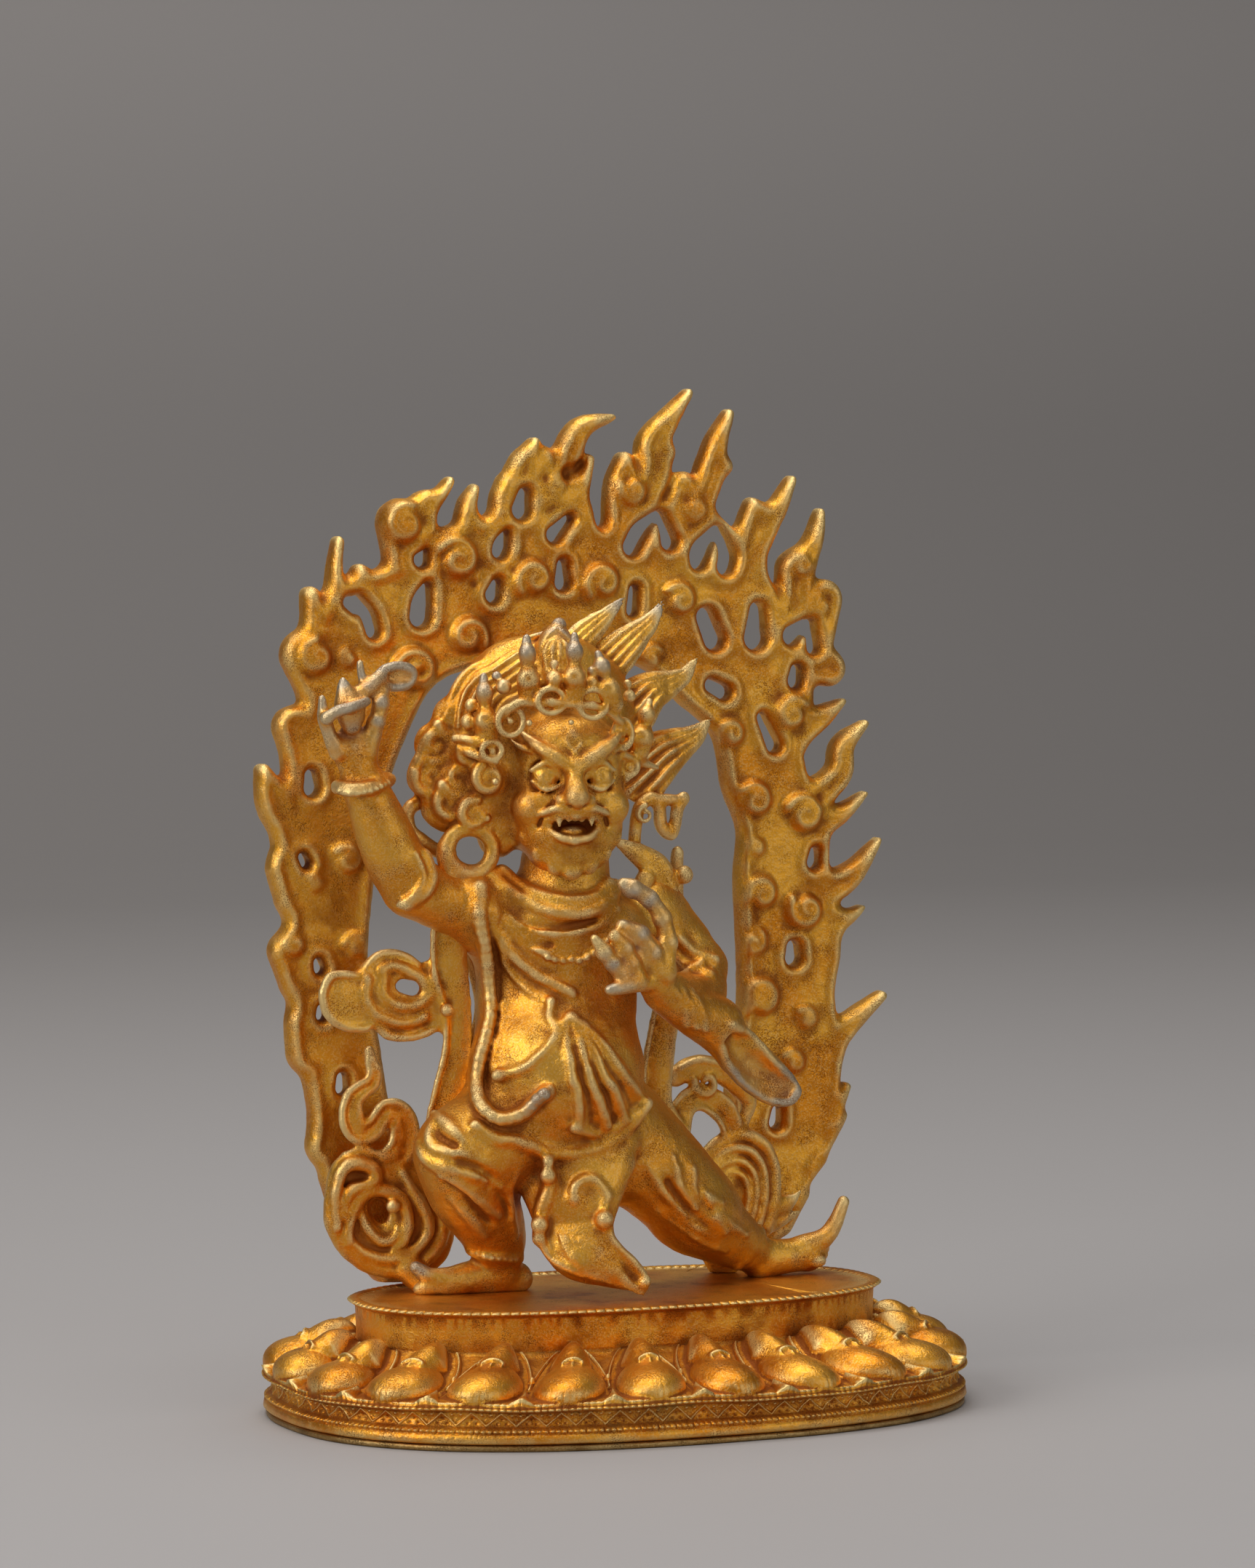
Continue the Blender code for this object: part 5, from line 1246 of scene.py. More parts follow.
    def build(self, finish: Gilding) -> None:
        """Makes the casting and dresses it."""
        form = Casting(Wax((-18.8, -7.0, self.floor - 0.3), (15.4, 4.6, 42.8), 0.11))
        self.trunk(form)
        self.right_leg(form)
        self.left_leg(form)
        self.skin_apron(form)
        self.garments(form)
        self.jewels(form)
        self.raised_arm(form)
        self.raised_hand(form)
        self.thunderbolt(form)
        self.lowered_arm(form)
        self.sleeve(form)
        self.lowered_hand(form)
        form.wax.roughen(CAST_GRAIN, 1)
        form.wax.trim(self.floor)
        piece = cast(form.wax, "guardian_body")
        form.wear_through(piece, self.worn)
        mount(piece, "gilt_figure", "figure")
        finish.dress(piece)


@dataclass
class GuardianHead:
    """Wrathful mask, crown and hair. The mask is laid out on its own axes: right, up and out."""

    middle: Row = (-3.1, 0.2, 34.4)
    turn: float = 13.0
    # Hair tongues to the right: x, z, depth and half width from root to tip
    tongues: tuple[tuple[Row, ...], ...] = (
        ((-3.2, 42.4, 2.2, 0.9), (-2.2, 43.3, 2.5, 0.85), (-0.9, 44.35, 2.8, 0.5), (0.2, 45.4, 3.0, 0.12)),
        ((-1.4, 41.2, 2.0, 1.3), (-0.2, 42.3, 2.3, 1.15), (0.7, 43.1, 2.5, 0.85), (1.6, 43.9, 2.7, 0.55),
         (2.6, 45.3, 3.0, 0.12)),
        ((0.4, 39.0, 1.6, 1.6), (1.4, 39.9, 2.0, 1.2), (2.6, 40.35, 2.3, 0.85), (3.7, 40.9, 2.6, 0.5),
         (4.5, 42.1, 3.0, 0.12)),
        ((0.9, 35.4, 1.4, 1.8), (2.0, 36.3, 1.8, 1.5), (3.1, 36.9, 2.2, 1.1), (4.3, 37.5, 2.5, 0.65),
         (5.4, 38.6, 3.0, 0.12)),
    )
    # Outer edge of the hair on the left, from the top down: x and z
    wing: tuple[Row, ...] = (
        (-4.6, 43.3), (-5.9, 42.85), (-6.9, 42.4), (-8.0, 41.7), (-9.1, 41.2), (-9.9, 40.4), (-10.3, 39.3),
        (-10.4, 38.3),
    )
    # Points of the crown: x and z of foot and tip, depth
    points: tuple[Row, ...] = (
        (-8.2, 37.5, -8.4, 40.9, -1.5), (-5.7, 39.8, -5.85, 43.0, -2.8), (-3.0, 39.9, -3.0, 43.1, -3.3),
        (-0.7, 39.3, -1.6, 42.1, -3.1), (0.9, 36.7, 1.5, 39.4, -1.8),
    )
    # Curls beside the ears: x, z, depth, radius and start of the curl
    curls: tuple[Row, ...] = (
        (-9.9, 35.3, 0.2, 1.15, 200), (-8.1, 35.3, -0.9, 0.95, 120), (-10.3, 33.9, 0.3, 1.3, 20),
        (-11.2, 37.2, 0.9, 1.15, 250), (-11.6, 35.3, 0.9, 1.05, 160), (-9.3, 36.6, -0.4, 0.9, 300),
        (-9.0, 33.3, -0.2, 0.95, 80), (-10.1, 38.6, 0.9, 1.2, 200),
    )

    # Worn tips of the crown, the hair and the ear ring: x, z, depth and reach
    worn: tuple[Row, ...] = (
        (-8.4, 40.9, -1.5, 1.6), (-5.85, 42.9, -2.8, 2.0), (-3.0, 43.0, -3.3, 2.0), (-1.6, 42.0, -3.1, 1.7),
        (-4.0, 43.4, -0.3, 1.8), (2.6, 45.3, 3.0, 1.9), (0.2, 45.4, 3.0, 1.8), (-9.4, 30.3, 0.0, 1.5),
    )

    def on_mask(self, rows: Sequence[Row]) -> Array:
        """Real places, with half widths, of rows laid out as right, up and out from the head's middle."""
        across, upward, out, half = np.asarray(rows, np.float32).T
        a = math.radians(self.turn)
        x = self.middle[0] + across * math.cos(a) - out * math.sin(a)
        y = self.middle[1] - across * math.sin(a) - out * math.cos(a)
        return np.column_stack([x, y, self.middle[2] + upward, half])

    def stroke(self, wax: Wax, rows: Sequence[Row], mirror: bool = True, **form: object) -> None:
        """A bar on the mask, and its mirror image."""
        rows = np.asarray(rows, np.float32)
        for side in (1, -1) if mirror else (1,):
            wax.rod(self.on_mask(rows * (side, 1, 1, 1)), steps=4, **form)

    def dot(self, wax: Wax, place: Row, radii: Row | float, mirror: bool = True, **form: object) -> None:
        """A ball on the mask, and its mirror image."""
        for side in (1, -1) if mirror else (1,):
            spot = self.on_mask([(side * place[0], place[1], place[2], 0)])[0, :3]
            wax.ball(spot, radii, turn=-self.turn, **form)

    def skull(self, wax: Wax) -> None:
        """The broad head: dome, cheeks, jowls and chin."""
        wax.ball(self.middle, (3.35, 3.3, 4.0), turn=-self.turn, blend=0.8)
        self.dot(wax, (0, 2.2, 0.9), (3.1, 2.5, 2.3), mirror=False, blend=0.8)
        self.dot(wax, (0, -2.1, 1.0), (3.0, 2.5, 2.0), mirror=False, blend=0.7)
        self.dot(wax, (2.0, -0.7, 2.2), (1.25, 1.1, 1.1), blend=0.6)
        self.dot(wax, (0, -3.5, 1.6), (2.15, 1.5, 1.0), mirror=False, blend=0.5)

    def mask(self, wax: Wax) -> None:
        """A wrathful mask of the usual kind: three bulging eyes, flared brows, fangs and curled beard."""
        dot, stroke = partial(self.dot, wax), partial(self.stroke, wax)
        dot((1.5, 1.0, 2.75), (1.05, 0.8, 0.85), press=True, blend=0.4)
        dot((1.5, 0.95, 2.65), (0.74, 0.72, 0.68), blend=0.15)
        stroke([(0.55, 0.75, 3.1, 0.14), (1.4, 1.75, 3.25, 0.2), (2.4, 1.3, 2.7, 0.14)], blend=0.12)
        stroke([(0.6, 0.6, 3.15, 0.12), (1.5, 0.25, 3.2, 0.17), (2.35, 0.75, 2.75, 0.12)], blend=0.12)
        dot((1.45, 0.95, 3.4), (0.2, 0.2, 0.2), press=True, blend=0.1)
        stroke([(0.3, 1.6, 3.45, 0.42), (1.1, 2.1, 3.35, 0.42), (2.1, 2.75, 2.9, 0.34),
                (2.9, 3.5, 2.2, 0.14)], blend=0.25)
        stroke([(2.3, 2.4, 2.7, 0.2), (3.0, 2.7, 2.1, 0.16), (3.4, 3.2, 1.5, 0.08)], blend=0.15)
        stroke([(0.22, 1.7, 3.75, 0.1), (0.3, 2.3, 3.6, 0.1), (0.2, 2.8, 3.4, 0.08)], press=True, blend=0.12)
        dot((0, 2.95, 3.0), (0.34, 0.3, 0.58), mirror=False, blend=0.15)
        stroke([(0, 3.7, 2.7, 0.1), (0.42, 3.0, 3.2, 0.12), (0, 2.3, 3.5, 0.1)], blend=0.1)
        stroke([(0, 1.7, 3.4, 0.42), (0, 0.8, 3.7, 0.5), (0, -0.1, 4.05, 0.72)], mirror=False, blend=0.3)
        dot((0.68, -0.3, 3.6), (0.5, 0.55, 0.42), blend=0.2)
        dot((0.42, -0.62, 4.15), (0.19, 0.3, 0.15), press=True, blend=0.12)
        stroke([(0.8, -0.1, 3.5, 0.12), (1.5, -0.8, 3.3, 0.16), (1.9, -1.7, 2.8, 0.12)], press=True,
                    blend=0.2)
        dot((0, -1.75, 3.3), (1.25, 0.9, 0.55), mirror=False, press=True, blend=0.25)
        dot((0, -2.0, 2.75), (0.7, 0.8, 0.3), mirror=False, blend=0.15)
        stroke([(0, -1.05, 3.85, 0.3), (0.8, -1.05, 3.6, 0.28), (1.45, -1.5, 3.0, 0.2)], blend=0.15)
        stroke([(0, -2.5, 3.6, 0.28), (0.8, -2.35, 3.4, 0.26), (1.45, -1.85, 2.95, 0.18)], blend=0.15)
        for k in (-1, 0, 1):
            dot((0.36 * k, -1.35, 3.65), (0.17, 0.16, 0.2), mirror=False, blend=0.06)
        stroke([(0.85, -1.2, 3.6, 0.2), (0.9, -1.65, 3.65, 0.13), (0.86, -2.0, 3.6, 0.05)], blend=0.08)
        stroke([(0.2, -0.85, 4.0, 0.2), (1.1, -0.75, 3.75, 0.24), (2.0, -1.05, 3.1, 0.2),
                          (2.6, -0.6, 2.5, 0.12)], blend=0.12)
        for across, upward, out in ((0.0, -4.2, 2.6), (0.9, -3.95, 2.5), (1.7, -3.3, 2.25),
                                    (2.35, -2.4, 1.8)):
            stroke([(across, upward + 0.45, out, 0.2), (across + 0.32, upward + 0.1, out + 0.12, 0.2),
                    (across + 0.1, upward - 0.3, out, 0.18), (across - 0.2, upward - 0.1, out + 0.15, 0.14)],
                   blend=0.12)
            dot((across, upward, out - 0.15), 0.5, blend=0.25)

    def met(self, form: Casting, rows: Array) -> Array:
        """Depth of the wax behind each place, less a touch."""
        return form.depth(rows[:, 0], rows[:, 1]) - 0.05

    def hair(self, form: Casting) -> None:
        """Hair like fire: a combed mass swept back on the left and grooved tongues on the right."""
        wax = form.wax
        wax.ball((-3.6, 1.9, 38.4), (5.4, 2.6, 4.8), blend=0.8)
        form.bar([(-6.6, 40.5, 1.3, 2.3), (-8.2, 39.2, 1.3, 2.1), (-8.6, 37.2, 1.0, 2.0)], flat=0.7,
                 blend=0.8)
        edge = np.asarray(self.wing)
        core = np.array((-4.4, 37.6))
        for k, share in enumerate((1.0, 0.91, 0.82, 0.73, 0.64, 0.55)):
            rows = core + share * (edge - core)
            depth = np.full(len(rows), 1.0) if k == 0 else self.met(form, rows)
            half = np.interp(np.arange(len(rows)), [0, 2, 7], [0.16, 0.34, 0.3])
            form.bar(np.column_stack([rows, depth, half]), blend=0.12)
            if k:
                between = core + (share + 0.045) * (edge - core)
                form.bar(np.column_stack([between, self.met(form, between) + 0.02, 0.45 * half]), blend=0.1,
                         press=True)
        for rows in self.tongues:
            form.bar(rows, flat=0.42, face=(-0.35, -0.93, 0.1), strands=5, groove=0.6, blend=0.2, steps=8)
        form.bar([(-3.9, 41.2, -0.6, 1.15), (-4.1, 42.4, -0.4, 1.1), (-4.1, 43.2, -0.3, 0.6)], blend=0.3)
        form.knob(-3.9, 43.7, -0.3, 0.42, blend=0.12)
        for k in range(5):
            x = -4.9 + 0.42 * k
            form.lay([(x, 41.4), (x + 0.05 * (k - 2), 42.4), (-4.0, 43.4)], 0.1, press=True, blend=0.1)

    def side_curls(self, form: Casting) -> None:
        """The mass of curls before and behind the right ear."""
        form.bar([(-7.3, 36.0, 0.7, 1.4), (-7.7, 33.8, 0.8, 1.4), (-7.6, 32.0, 0.9, 1.1)], blend=0.6)
        for x, z, y, radius, start in self.curls:
            form.knob(x, z, y + 0.5, (1.1 * radius, 0.8, 1.1 * radius), blend=0.4)
            form.spiral(x, z, y - 0.15, radius * 0.86, start, 1.2, 0.34, blend=0.2)
        rim = ((-11.0, 38.2), (-11.8, 37.3), (-12.1, 36.6), (-12.5, 35.8), (-12.5, 35.1), (-11.9, 34.6),
               (-11.7, 34.0), (-11.7, 33.4), (-11.0, 32.8), (-10.0, 32.6), (-9.0, 32.9))
        form.bar([(x, z, 0.9, 0.34) for x, z in rim], blend=0.2)
        form.bar([(x, z, 1.6, 0.42) for x, z in ((-11.4, 34.2), (-12.5, 33.9), (-12.9, 33.3), (-12.7, 32.5),
                                                 (-12.0, 31.9), (-11.2, 31.4), (-10.4, 31.2))], blend=0.2)

    def crown(self, form: Casting) -> None:
        """The crown: a rope band, five knobbed points, and loops and buds between them."""
        band = ((-9.4, 36.9, -0.6), (-8.4, 37.6, -1.6), (-6.6, 39.3, -2.7), (-5.2, 39.4, -3.1),
                (-3.0, 39.3, -3.4), (-1.2, 39.0, -3.2), (0.1, 37.9, -2.5), (1.1, 36.4, -1.4))
        form.bar([(x, z, y, 0.26) for x, z, y in band], blend=0.3)
        for x0, z0, x1, z1, y in self.points:
            def along(share: float) -> tuple[float, float]:
                """The place at this share of the way from foot to tip."""
                return x0 + (x1 - x0) * share, z0 + (z1 - z0) * share

            form.bar([(*along(0), y + 0.2, 0.6), (*along(0.3), y, 0.62), (*along(0.5), y, 0.34),
                      (*along(0.72), y - 0.05, 0.5), (*along(0.85), y, 0.32), (*along(1), y + 0.1, 0.24)],
                     blend=0.12, steps=4)
            form.knob(*along(0.28), y - 0.25, (0.64, 0.56, 0.6), blend=0.12)
            form.knob(*along(0.3), y - 0.85, 0.22, press=True, blend=0.1)
            form.knob(*along(0.74), y - 0.2, (0.46, 0.42, 0.42), blend=0.1)
        for x, z, y, rx, rz in ((-4.4, 39.5, -3.2, 0.8, 0.7), (-1.9, 39.3, -3.3, 0.85, 0.8),
                                (-6.8, 38.4, -2.4, 0.75, 0.8), (-0.1, 37.6, -2.5, 0.55, 0.8),
                                (-7.9, 36.8, -1.7, 0.6, 0.5), (0.3, 35.8, -1.8, 0.5, 0.5)):
            turn = np.linspace(0, 2 * math.pi, 13)
            form.bar(np.column_stack([x + rx * np.cos(turn), z + rz * np.sin(turn), np.full(13, y - 0.15),
                                      np.full(13, 0.2)]), blend=0.08, steps=2)
            form.knob(x, z, y - 0.1, 0.22, blend=0.08)
        for x, z, y, radius in ((-7.6, 40.9, -1.6, 0.3), (-7.2, 40.3, -2.0, 0.45), (-4.2, 41.5, -3.0, 0.3),
                                (-4.2, 40.7, -3.2, 0.48), (-1.95, 41.1, -3.1, 0.3),
                                (-1.95, 40.5, -3.2, 0.38), (0.2, 40.4, -2.4, 0.28), (0.3, 39.7, -2.3, 0.38),
                                (-5.7, 38.3, -3.1, 0.24), (-3.2, 38.3, -3.6, 0.22), (-7.7, 35.1, -1.9, 0.26),
                                (0.1, 35.1, -1.9, 0.22), (0.35, 34.4, -1.8, 0.18), (-9.1, 39.3, -0.8, 0.4),
                                (-9.3, 38.4, -0.8, 0.45)):
            form.knob(x, z, y, radius, blend=0.1)
        form.bar([(-10.1, 37.5, -0.4, 0.24), (-9.2, 37.4, -1.1, 0.3), (-8.2, 37.1, -1.6, 0.26)], blend=0.12)
        form.bar([(-9.9, 37.0, -0.5, 0.2), (-8.9, 36.6, -1.3, 0.28), (-7.6, 36.1, -1.9, 0.14)], blend=0.12)
        form.bar([(-0.1, 36.5, -2.3, 0.26), (0.9, 36.1, -1.5, 0.28), (2.0, 35.7, -0.9, 0.16)], blend=0.12)

    def ears(self, form: Casting) -> None:
        """The ears, their rings, and the ribbon scrolls beside them."""
        form.bar([(-7.8, 35.0, 0.2, 0.5), (-8.3, 34.0, 0.1, 0.6), (-8.2, 32.9, 0.1, 0.5)], blend=0.2)
        turn = np.linspace(0, 2 * math.pi, 17)
        thick = 0.46 + 0.14 * np.clip(-np.sin(turn + 0.8), 0, 1)
        form.bar(np.column_stack([-9.25 + 1.36 * np.cos(turn), 31.3 + 1.25 * np.sin(turn), np.full(17, 0.0),
                                  thick]), blend=0.15, steps=3)
        form.bar([(-10.6, 30.9, 0.0, 0.45), (-10.4, 29.7, -0.1, 0.5), (-9.6, 29.2, -0.1, 0.5),
                  (-8.7, 29.9, 0.0, 0.4)], blend=0.15)
        form.knob(-8.2, 33.1, -0.5, 0.24, blend=0.08)
        scroll = ((0.6, 31.5, 0.5), (0.7, 32.6, 0.4), (0.9, 33.5, 0.3), (1.6, 34.0, 0.3), (2.1, 33.5, 0.3),
                  (2.2, 32.5, 0.3), (2.8, 32.0, 0.4), (3.1, 32.7, 0.4), (3.2, 33.4, 0.4), (3.6, 34.0, 0.5))
        form.bar([(x, z, y, 0.4) for x, z, y in scroll], flat=0.7, blend=0.15)
        form.bar([(1.9, 34.0, 0.3, 0.3), (2.8, 33.9, 0.4, 0.34), (3.6, 34.0, 0.5, 0.2)], blend=0.12)
        form.spiral(1.3, 33.1, -0.1, 0.55, 90, 1.1, 0.18, blend=0.1)
        for rows in (((-0.2, 31.5), (0.8, 30.9), (1.7, 30.0), (2.2, 29.1)),
                     ((0.9, 31.2), (2.0, 30.4), (2.7, 29.3), (2.9, 28.0))):
            form.bar([(x, z, 0.0, half) for (x, z), half in zip(rows, (0.35, 0.6, 0.55, 0.3))], flat=0.6,
                     blend=0.15)
        form.knob(1.2, 29.4, -0.2, (0.6, 0.4, 0.8), lean=30, blend=0.15)
        form.bar([(2.9, 29.0, 0.2, 0.2), (3.6, 29.7, 0.0, 0.2)], blend=0.1)
        form.knob(3.6, 29.7, 0.0, 0.55, blend=0.1)

    def build(self, finish: Gilding) -> None:
        """Makes the casting and dresses it."""
        form = Casting(Wax((-13.4, -6.4, 27.4), (8.2, 5.0, 46.6), 0.085))
        self.skull(form.wax)
        self.hair(form)
        self.side_curls(form)
        self.mask(form.wax)
        self.ears(form)
        self.crown(form)
        form.wax.roughen(HEAD_GRAIN, 1)
        piece = cast(form.wax, "guardian_head")
        form.wear_through(piece, self.worn)
        mount(piece, "gilt_figure", "figure")
        finish.dress(piece)


@dataclass
class GuardianScarves:
    """The long scarf about the figure: rows are x and z as read, depth and half width."""

    floor: float = 6.5
    back: float = 5.8
    toward: Row = (-0.39, -0.92, 0.0)

    def ribbon(self, form: Casting, rows: Sequence[Row], plane: float | None = None, rim: float = 0.2,
               flat: float = 0.4) -> None:
        """A flat band with a raised rim along each edge."""
        form.bar(rows, plane, flat=flat, face=self.toward, blend=0.25)
        rows = np.asarray(rows, np.float32)
        ahead = np.gradient(rows[:, :2], axis=0)
        ahead /= np.linalg.norm(ahead, axis=1, keepdims=True)
        aside = np.column_stack([ahead[:, 1], -ahead[:, 0]]) * (rows[:, 3:] - 0.6 * rim)
        for side in (1, -1):
            edge = rows.copy()
            edge[:, :2] += side * aside
            edge[:, 2] -= flat * rows[:, 3] * 0.7
            edge[:, 3] = rim
            form.bar(edge, plane, blend=0.12)

    def left_side(self, form: Casting) -> None:
        """The fall of the scarf on the left, from the shoulder down past the knee."""
        self.ribbon(form, [(-10.4, 30.4, 1.0, 0.6), (-10.4, 28.6, 1.1, 0.8), (-10.5, 26.6, 1.3, 1.0),
                           (-10.4, 24.6, 1.5, 1.0), (-10.0, 22.6, 1.6, 0.8), (-10.0, 20.4, 1.7, 0.8),
                           (-10.4, 18.4, 1.8, 0.9), (-10.9, 16.4, 2.2, 0.9), (-11.0, 14.4, 3.2, 0.8)])
        form.bar([(-9.8, 26.4, 2.3, 0.4), (-9.0, 25.0, 2.4, 0.5), (-8.6, 23.6, 2.5, 0.5),
                  (-8.6, 22.2, 2.5, 0.4), (-9.4, 20.6, 2.3, 0.3)], flat=0.6, blend=0.2)
        form.knob(-10.55, 22.6, 0.9, 0.4, blend=0.12)

    def flare(self, form: Casting) -> None:
        """The cloud-shaped flare at the left hip: broad lobes, a raised rim and a curl about its eye."""
        for x, z, radii in ((-15.1, 23.0, (1.75, 0.5, 1.6)), (-13.3, 24.1, (1.5, 0.5, 1.5)),
                            (-12.2, 22.4, (2.1, 0.5, 1.5)), (-10.6, 23.6, (1.4, 0.5, 1.5)),
                            (-9.8, 22.6, (1.1, 0.5, 1.5))):
            form.knob(x, z, 2.0, radii, plane=2.0, blend=0.4)
        rim = ((-11.2, 24.9), (-11.9, 25.4), (-13.1, 25.6), (-13.9, 25.1), (-14.4, 24.4), (-15.4, 24.5),
               (-16.3, 24.4), (-16.7, 23.4), (-16.4, 22.3), (-15.4, 21.6), (-14.2, 21.5), (-13.7, 21.8),
               (-12.9, 21.0), (-11.6, 20.9), (-10.4, 21.2), (-9.6, 22.0))
        form.bar([(x, z, 1.75, 0.27) for x, z in rim], 2.0, blend=0.2)
        for rows, half in (
            (((-13.2, 24.3), (-13.2, 23.4), (-12.6, 22.8), (-11.8, 22.6), (-11.0, 22.8), (-10.4, 23.4)),
             0.36),
            (((-14.1, 24.2), (-14.2, 23.2), (-13.7, 22.3), (-12.9, 21.9), (-11.8, 21.7), (-10.8, 22.0)),
             0.32),
            (((-13.3, 24.7), (-12.6, 24.9), (-11.7, 24.6), (-10.9, 24.1), (-10.4, 23.4)), 0.34),
        ):
            form.bar([(x, z, 1.6, half) for x, z in rows], 2.0, blend=0.2)
        for depth in (1.2, 2.0, 2.8):
            form.bar([(-12.2, 23.75, depth, 0.42), (-11.4, 23.6, depth, 0.5)], 2.0, press=True, blend=0.12)

    def left_scrolls(self, form: Casting) -> None:
        """The tail that rises in an S beside the knee, and the great scroll at the floor."""
        tail = ((-11.1, 13.6, 0.55), (-10.5, 14.2, 0.6), (-10.3, 15.1, 0.62), (-10.5, 16.0, 0.6),
                (-11.0, 16.5, 0.55), (-11.6, 16.5, 0.55), (-12.0, 16.0, 0.55), (-12.5, 15.4, 0.6),
                (-13.2, 15.3, 0.65), (-13.6, 15.8, 0.66), (-13.7, 16.6, 0.62), (-13.5, 17.3, 0.56),
                (-13.0, 17.7, 0.5), (-12.5, 18.0, 0.45), (-12.3, 18.6, 0.4), (-12.5, 19.3, 0.3),
                (-12.6, 19.9, 0.16))
        self.ribbon(form, [(x, z, 3.9, half) for x, z, half in tail], self.back, rim=0.26, flat=0.7)
        form.knob(-11.6, 10.7, 4.0, (3.5, 0.6, 3.4), plane=self.back, blend=0.3)
        form.knob(-9.0, 9.8, 4.3, (1.5, 0.6, 2.5), plane=self.back, blend=0.3)
        form.knob(-12.4, 13.1, 4.0, (2.2, 0.6, 1.2), plane=self.back, blend=0.3)
        for depth in (3.4, 4.4):
            form.bar([(-12.2, 11.4, depth, 0.45), (-12.0, 10.8, depth, 0.62), (-11.8, 10.1, depth, 0.36)],
                     self.back, press=True, blend=0.2)
        for rows, depth, half in (
            (((-14.0, 14.0), (-14.6, 13.3), (-14.8, 12.4), (-14.9, 11.1), (-14.8, 10.3), (-14.3, 9.3),
              (-13.7, 8.6), (-12.9, 8.0), (-12.0, 7.6), (-11.0, 7.5), (-9.9, 7.7), (-9.0, 8.3), (-8.4, 9.1),
              (-8.2, 9.9), (-8.2, 10.8), (-8.7, 11.5)), 3.8, 0.50),
            (((-14.5, 10.0), (-14.6, 11.6), (-14.4, 12.8), (-13.8, 13.5), (-13.0, 13.5), (-12.3, 13.1),
              (-12.3, 12.6), (-12.9, 12.3), (-13.6, 12.1), (-14.0, 11.5), (-14.1, 10.6)), 3.3, 0.44),
            (((-13.8, 9.1), (-13.8, 10.0), (-13.5, 11.0), (-13.0, 11.7), (-12.3, 12.0), (-11.5, 11.9),
              (-10.8, 11.5), (-10.4, 10.7), (-10.35, 9.8), (-10.6, 9.0), (-11.1, 8.6)), 3.3, 0.38),
            (((-13.1, 11.0), (-13.0, 10.4), (-12.5, 9.6), (-11.8, 9.1), (-11.1, 9.3), (-10.9, 10.0)), 3.35,
             0.30),
            (((-14.0, 9.6), (-13.4, 8.9), (-12.5, 8.3), (-11.3, 8.1), (-10.3, 8.3), (-9.5, 8.9), (-9.1, 9.6),
              (-9.2, 10.4), (-9.6, 11.2), (-10.1, 12.0), (-10.6, 12.9)), 3.4, 0.38),
            (((-14.0, 14.1), (-13.1, 14.3), (-12.2, 14.0), (-11.3, 13.8), (-10.7, 14.1)), 3.6, 0.30),
            (((-11.3, 15.9), (-11.1, 15.3), (-11.3, 14.6), (-11.7, 14.2)), 3.6, 0.26),
        ):
            width = np.interp(np.linspace(0, 1, len(rows)), [0, 0.3, 0.8, 1],
                              [0.6 * half, half, half, 0.6 * half])
            form.bar([(x, z, depth, w) for (x, z), w in zip(rows, width)], self.back, blend=0.16)
        form.knob(-13.3, 12.8, 3.1, (0.6, 0.5, 0.22), plane=self.back, press=True, blend=0.2)
        form.knob(-11.2, 11.05, 3.0, 0.42, plane=self.back, blend=0.12)
        form.knob(-9.0, 10.3, 3.5, 0.26, plane=self.back, blend=0.1)
        form.bar([(-10.4, 7.6, 3.6, 0.8), (-9.6, 6.9, 3.4, 0.8), (-9.0, 6.6, 3.0, 0.7)], self.back,
                 blend=0.2)

    def right_side(self, form: Casting) -> None:
        """The fall of the scarf on the right, with its curl at the hip."""
        form.bar([(3.2, 31.0, 1.0, 0.4), (3.1, 28.6, 1.3, 0.5), (3.0, 26.4, 1.5, 0.5),
                  (3.0, 24.2, 1.7, 0.5)], flat=0.7, blend=0.25)
        self.ribbon(form, [(3.0, 24.6, 1.8, 0.7), (2.6, 22.4, 2.0, 0.8), (2.2, 20.4, 2.2, 0.85),
                           (1.95, 18.4, 2.4, 0.9), (2.0, 16.8, 2.6, 0.9), (3.0, 15.0, 3.0, 0.9),
                           (4.0, 13.4, 3.6, 0.9)])
        self.ribbon(form, [(3.3, 15.4, 3.0, 0.6), (3.6, 16.7, 3.2, 0.7), (4.5, 17.2, 3.4, 0.7),
                           (5.4, 16.9, 3.6, 0.7), (6.2, 16.2, 3.8, 0.7), (6.6, 15.2, 4.0, 0.6)], rim=0.22,
                    flat=0.6)
        form.bar([(3.0, 18.4, 3.2, 0.6), (4.2, 18.9, 3.4, 0.7), (5.6, 18.7, 3.6, 0.72),
                  (6.9, 17.9, 3.8, 0.72), (7.6, 16.8, 4.0, 0.5), (7.2, 15.6, 4.0, 0.4)], flat=0.7, blend=0.2)
        form.bar([(3.4, 18.9, 2.9, 0.2), (4.6, 19.3, 3.0, 0.24), (6.0, 18.9, 3.2, 0.24),
                  (7.3, 17.8, 3.4, 0.2)], blend=0.12)
        form.spiral(5.0, 18.0, 3.0, 0.8, 170, 0.9, 0.3, blend=0.15)

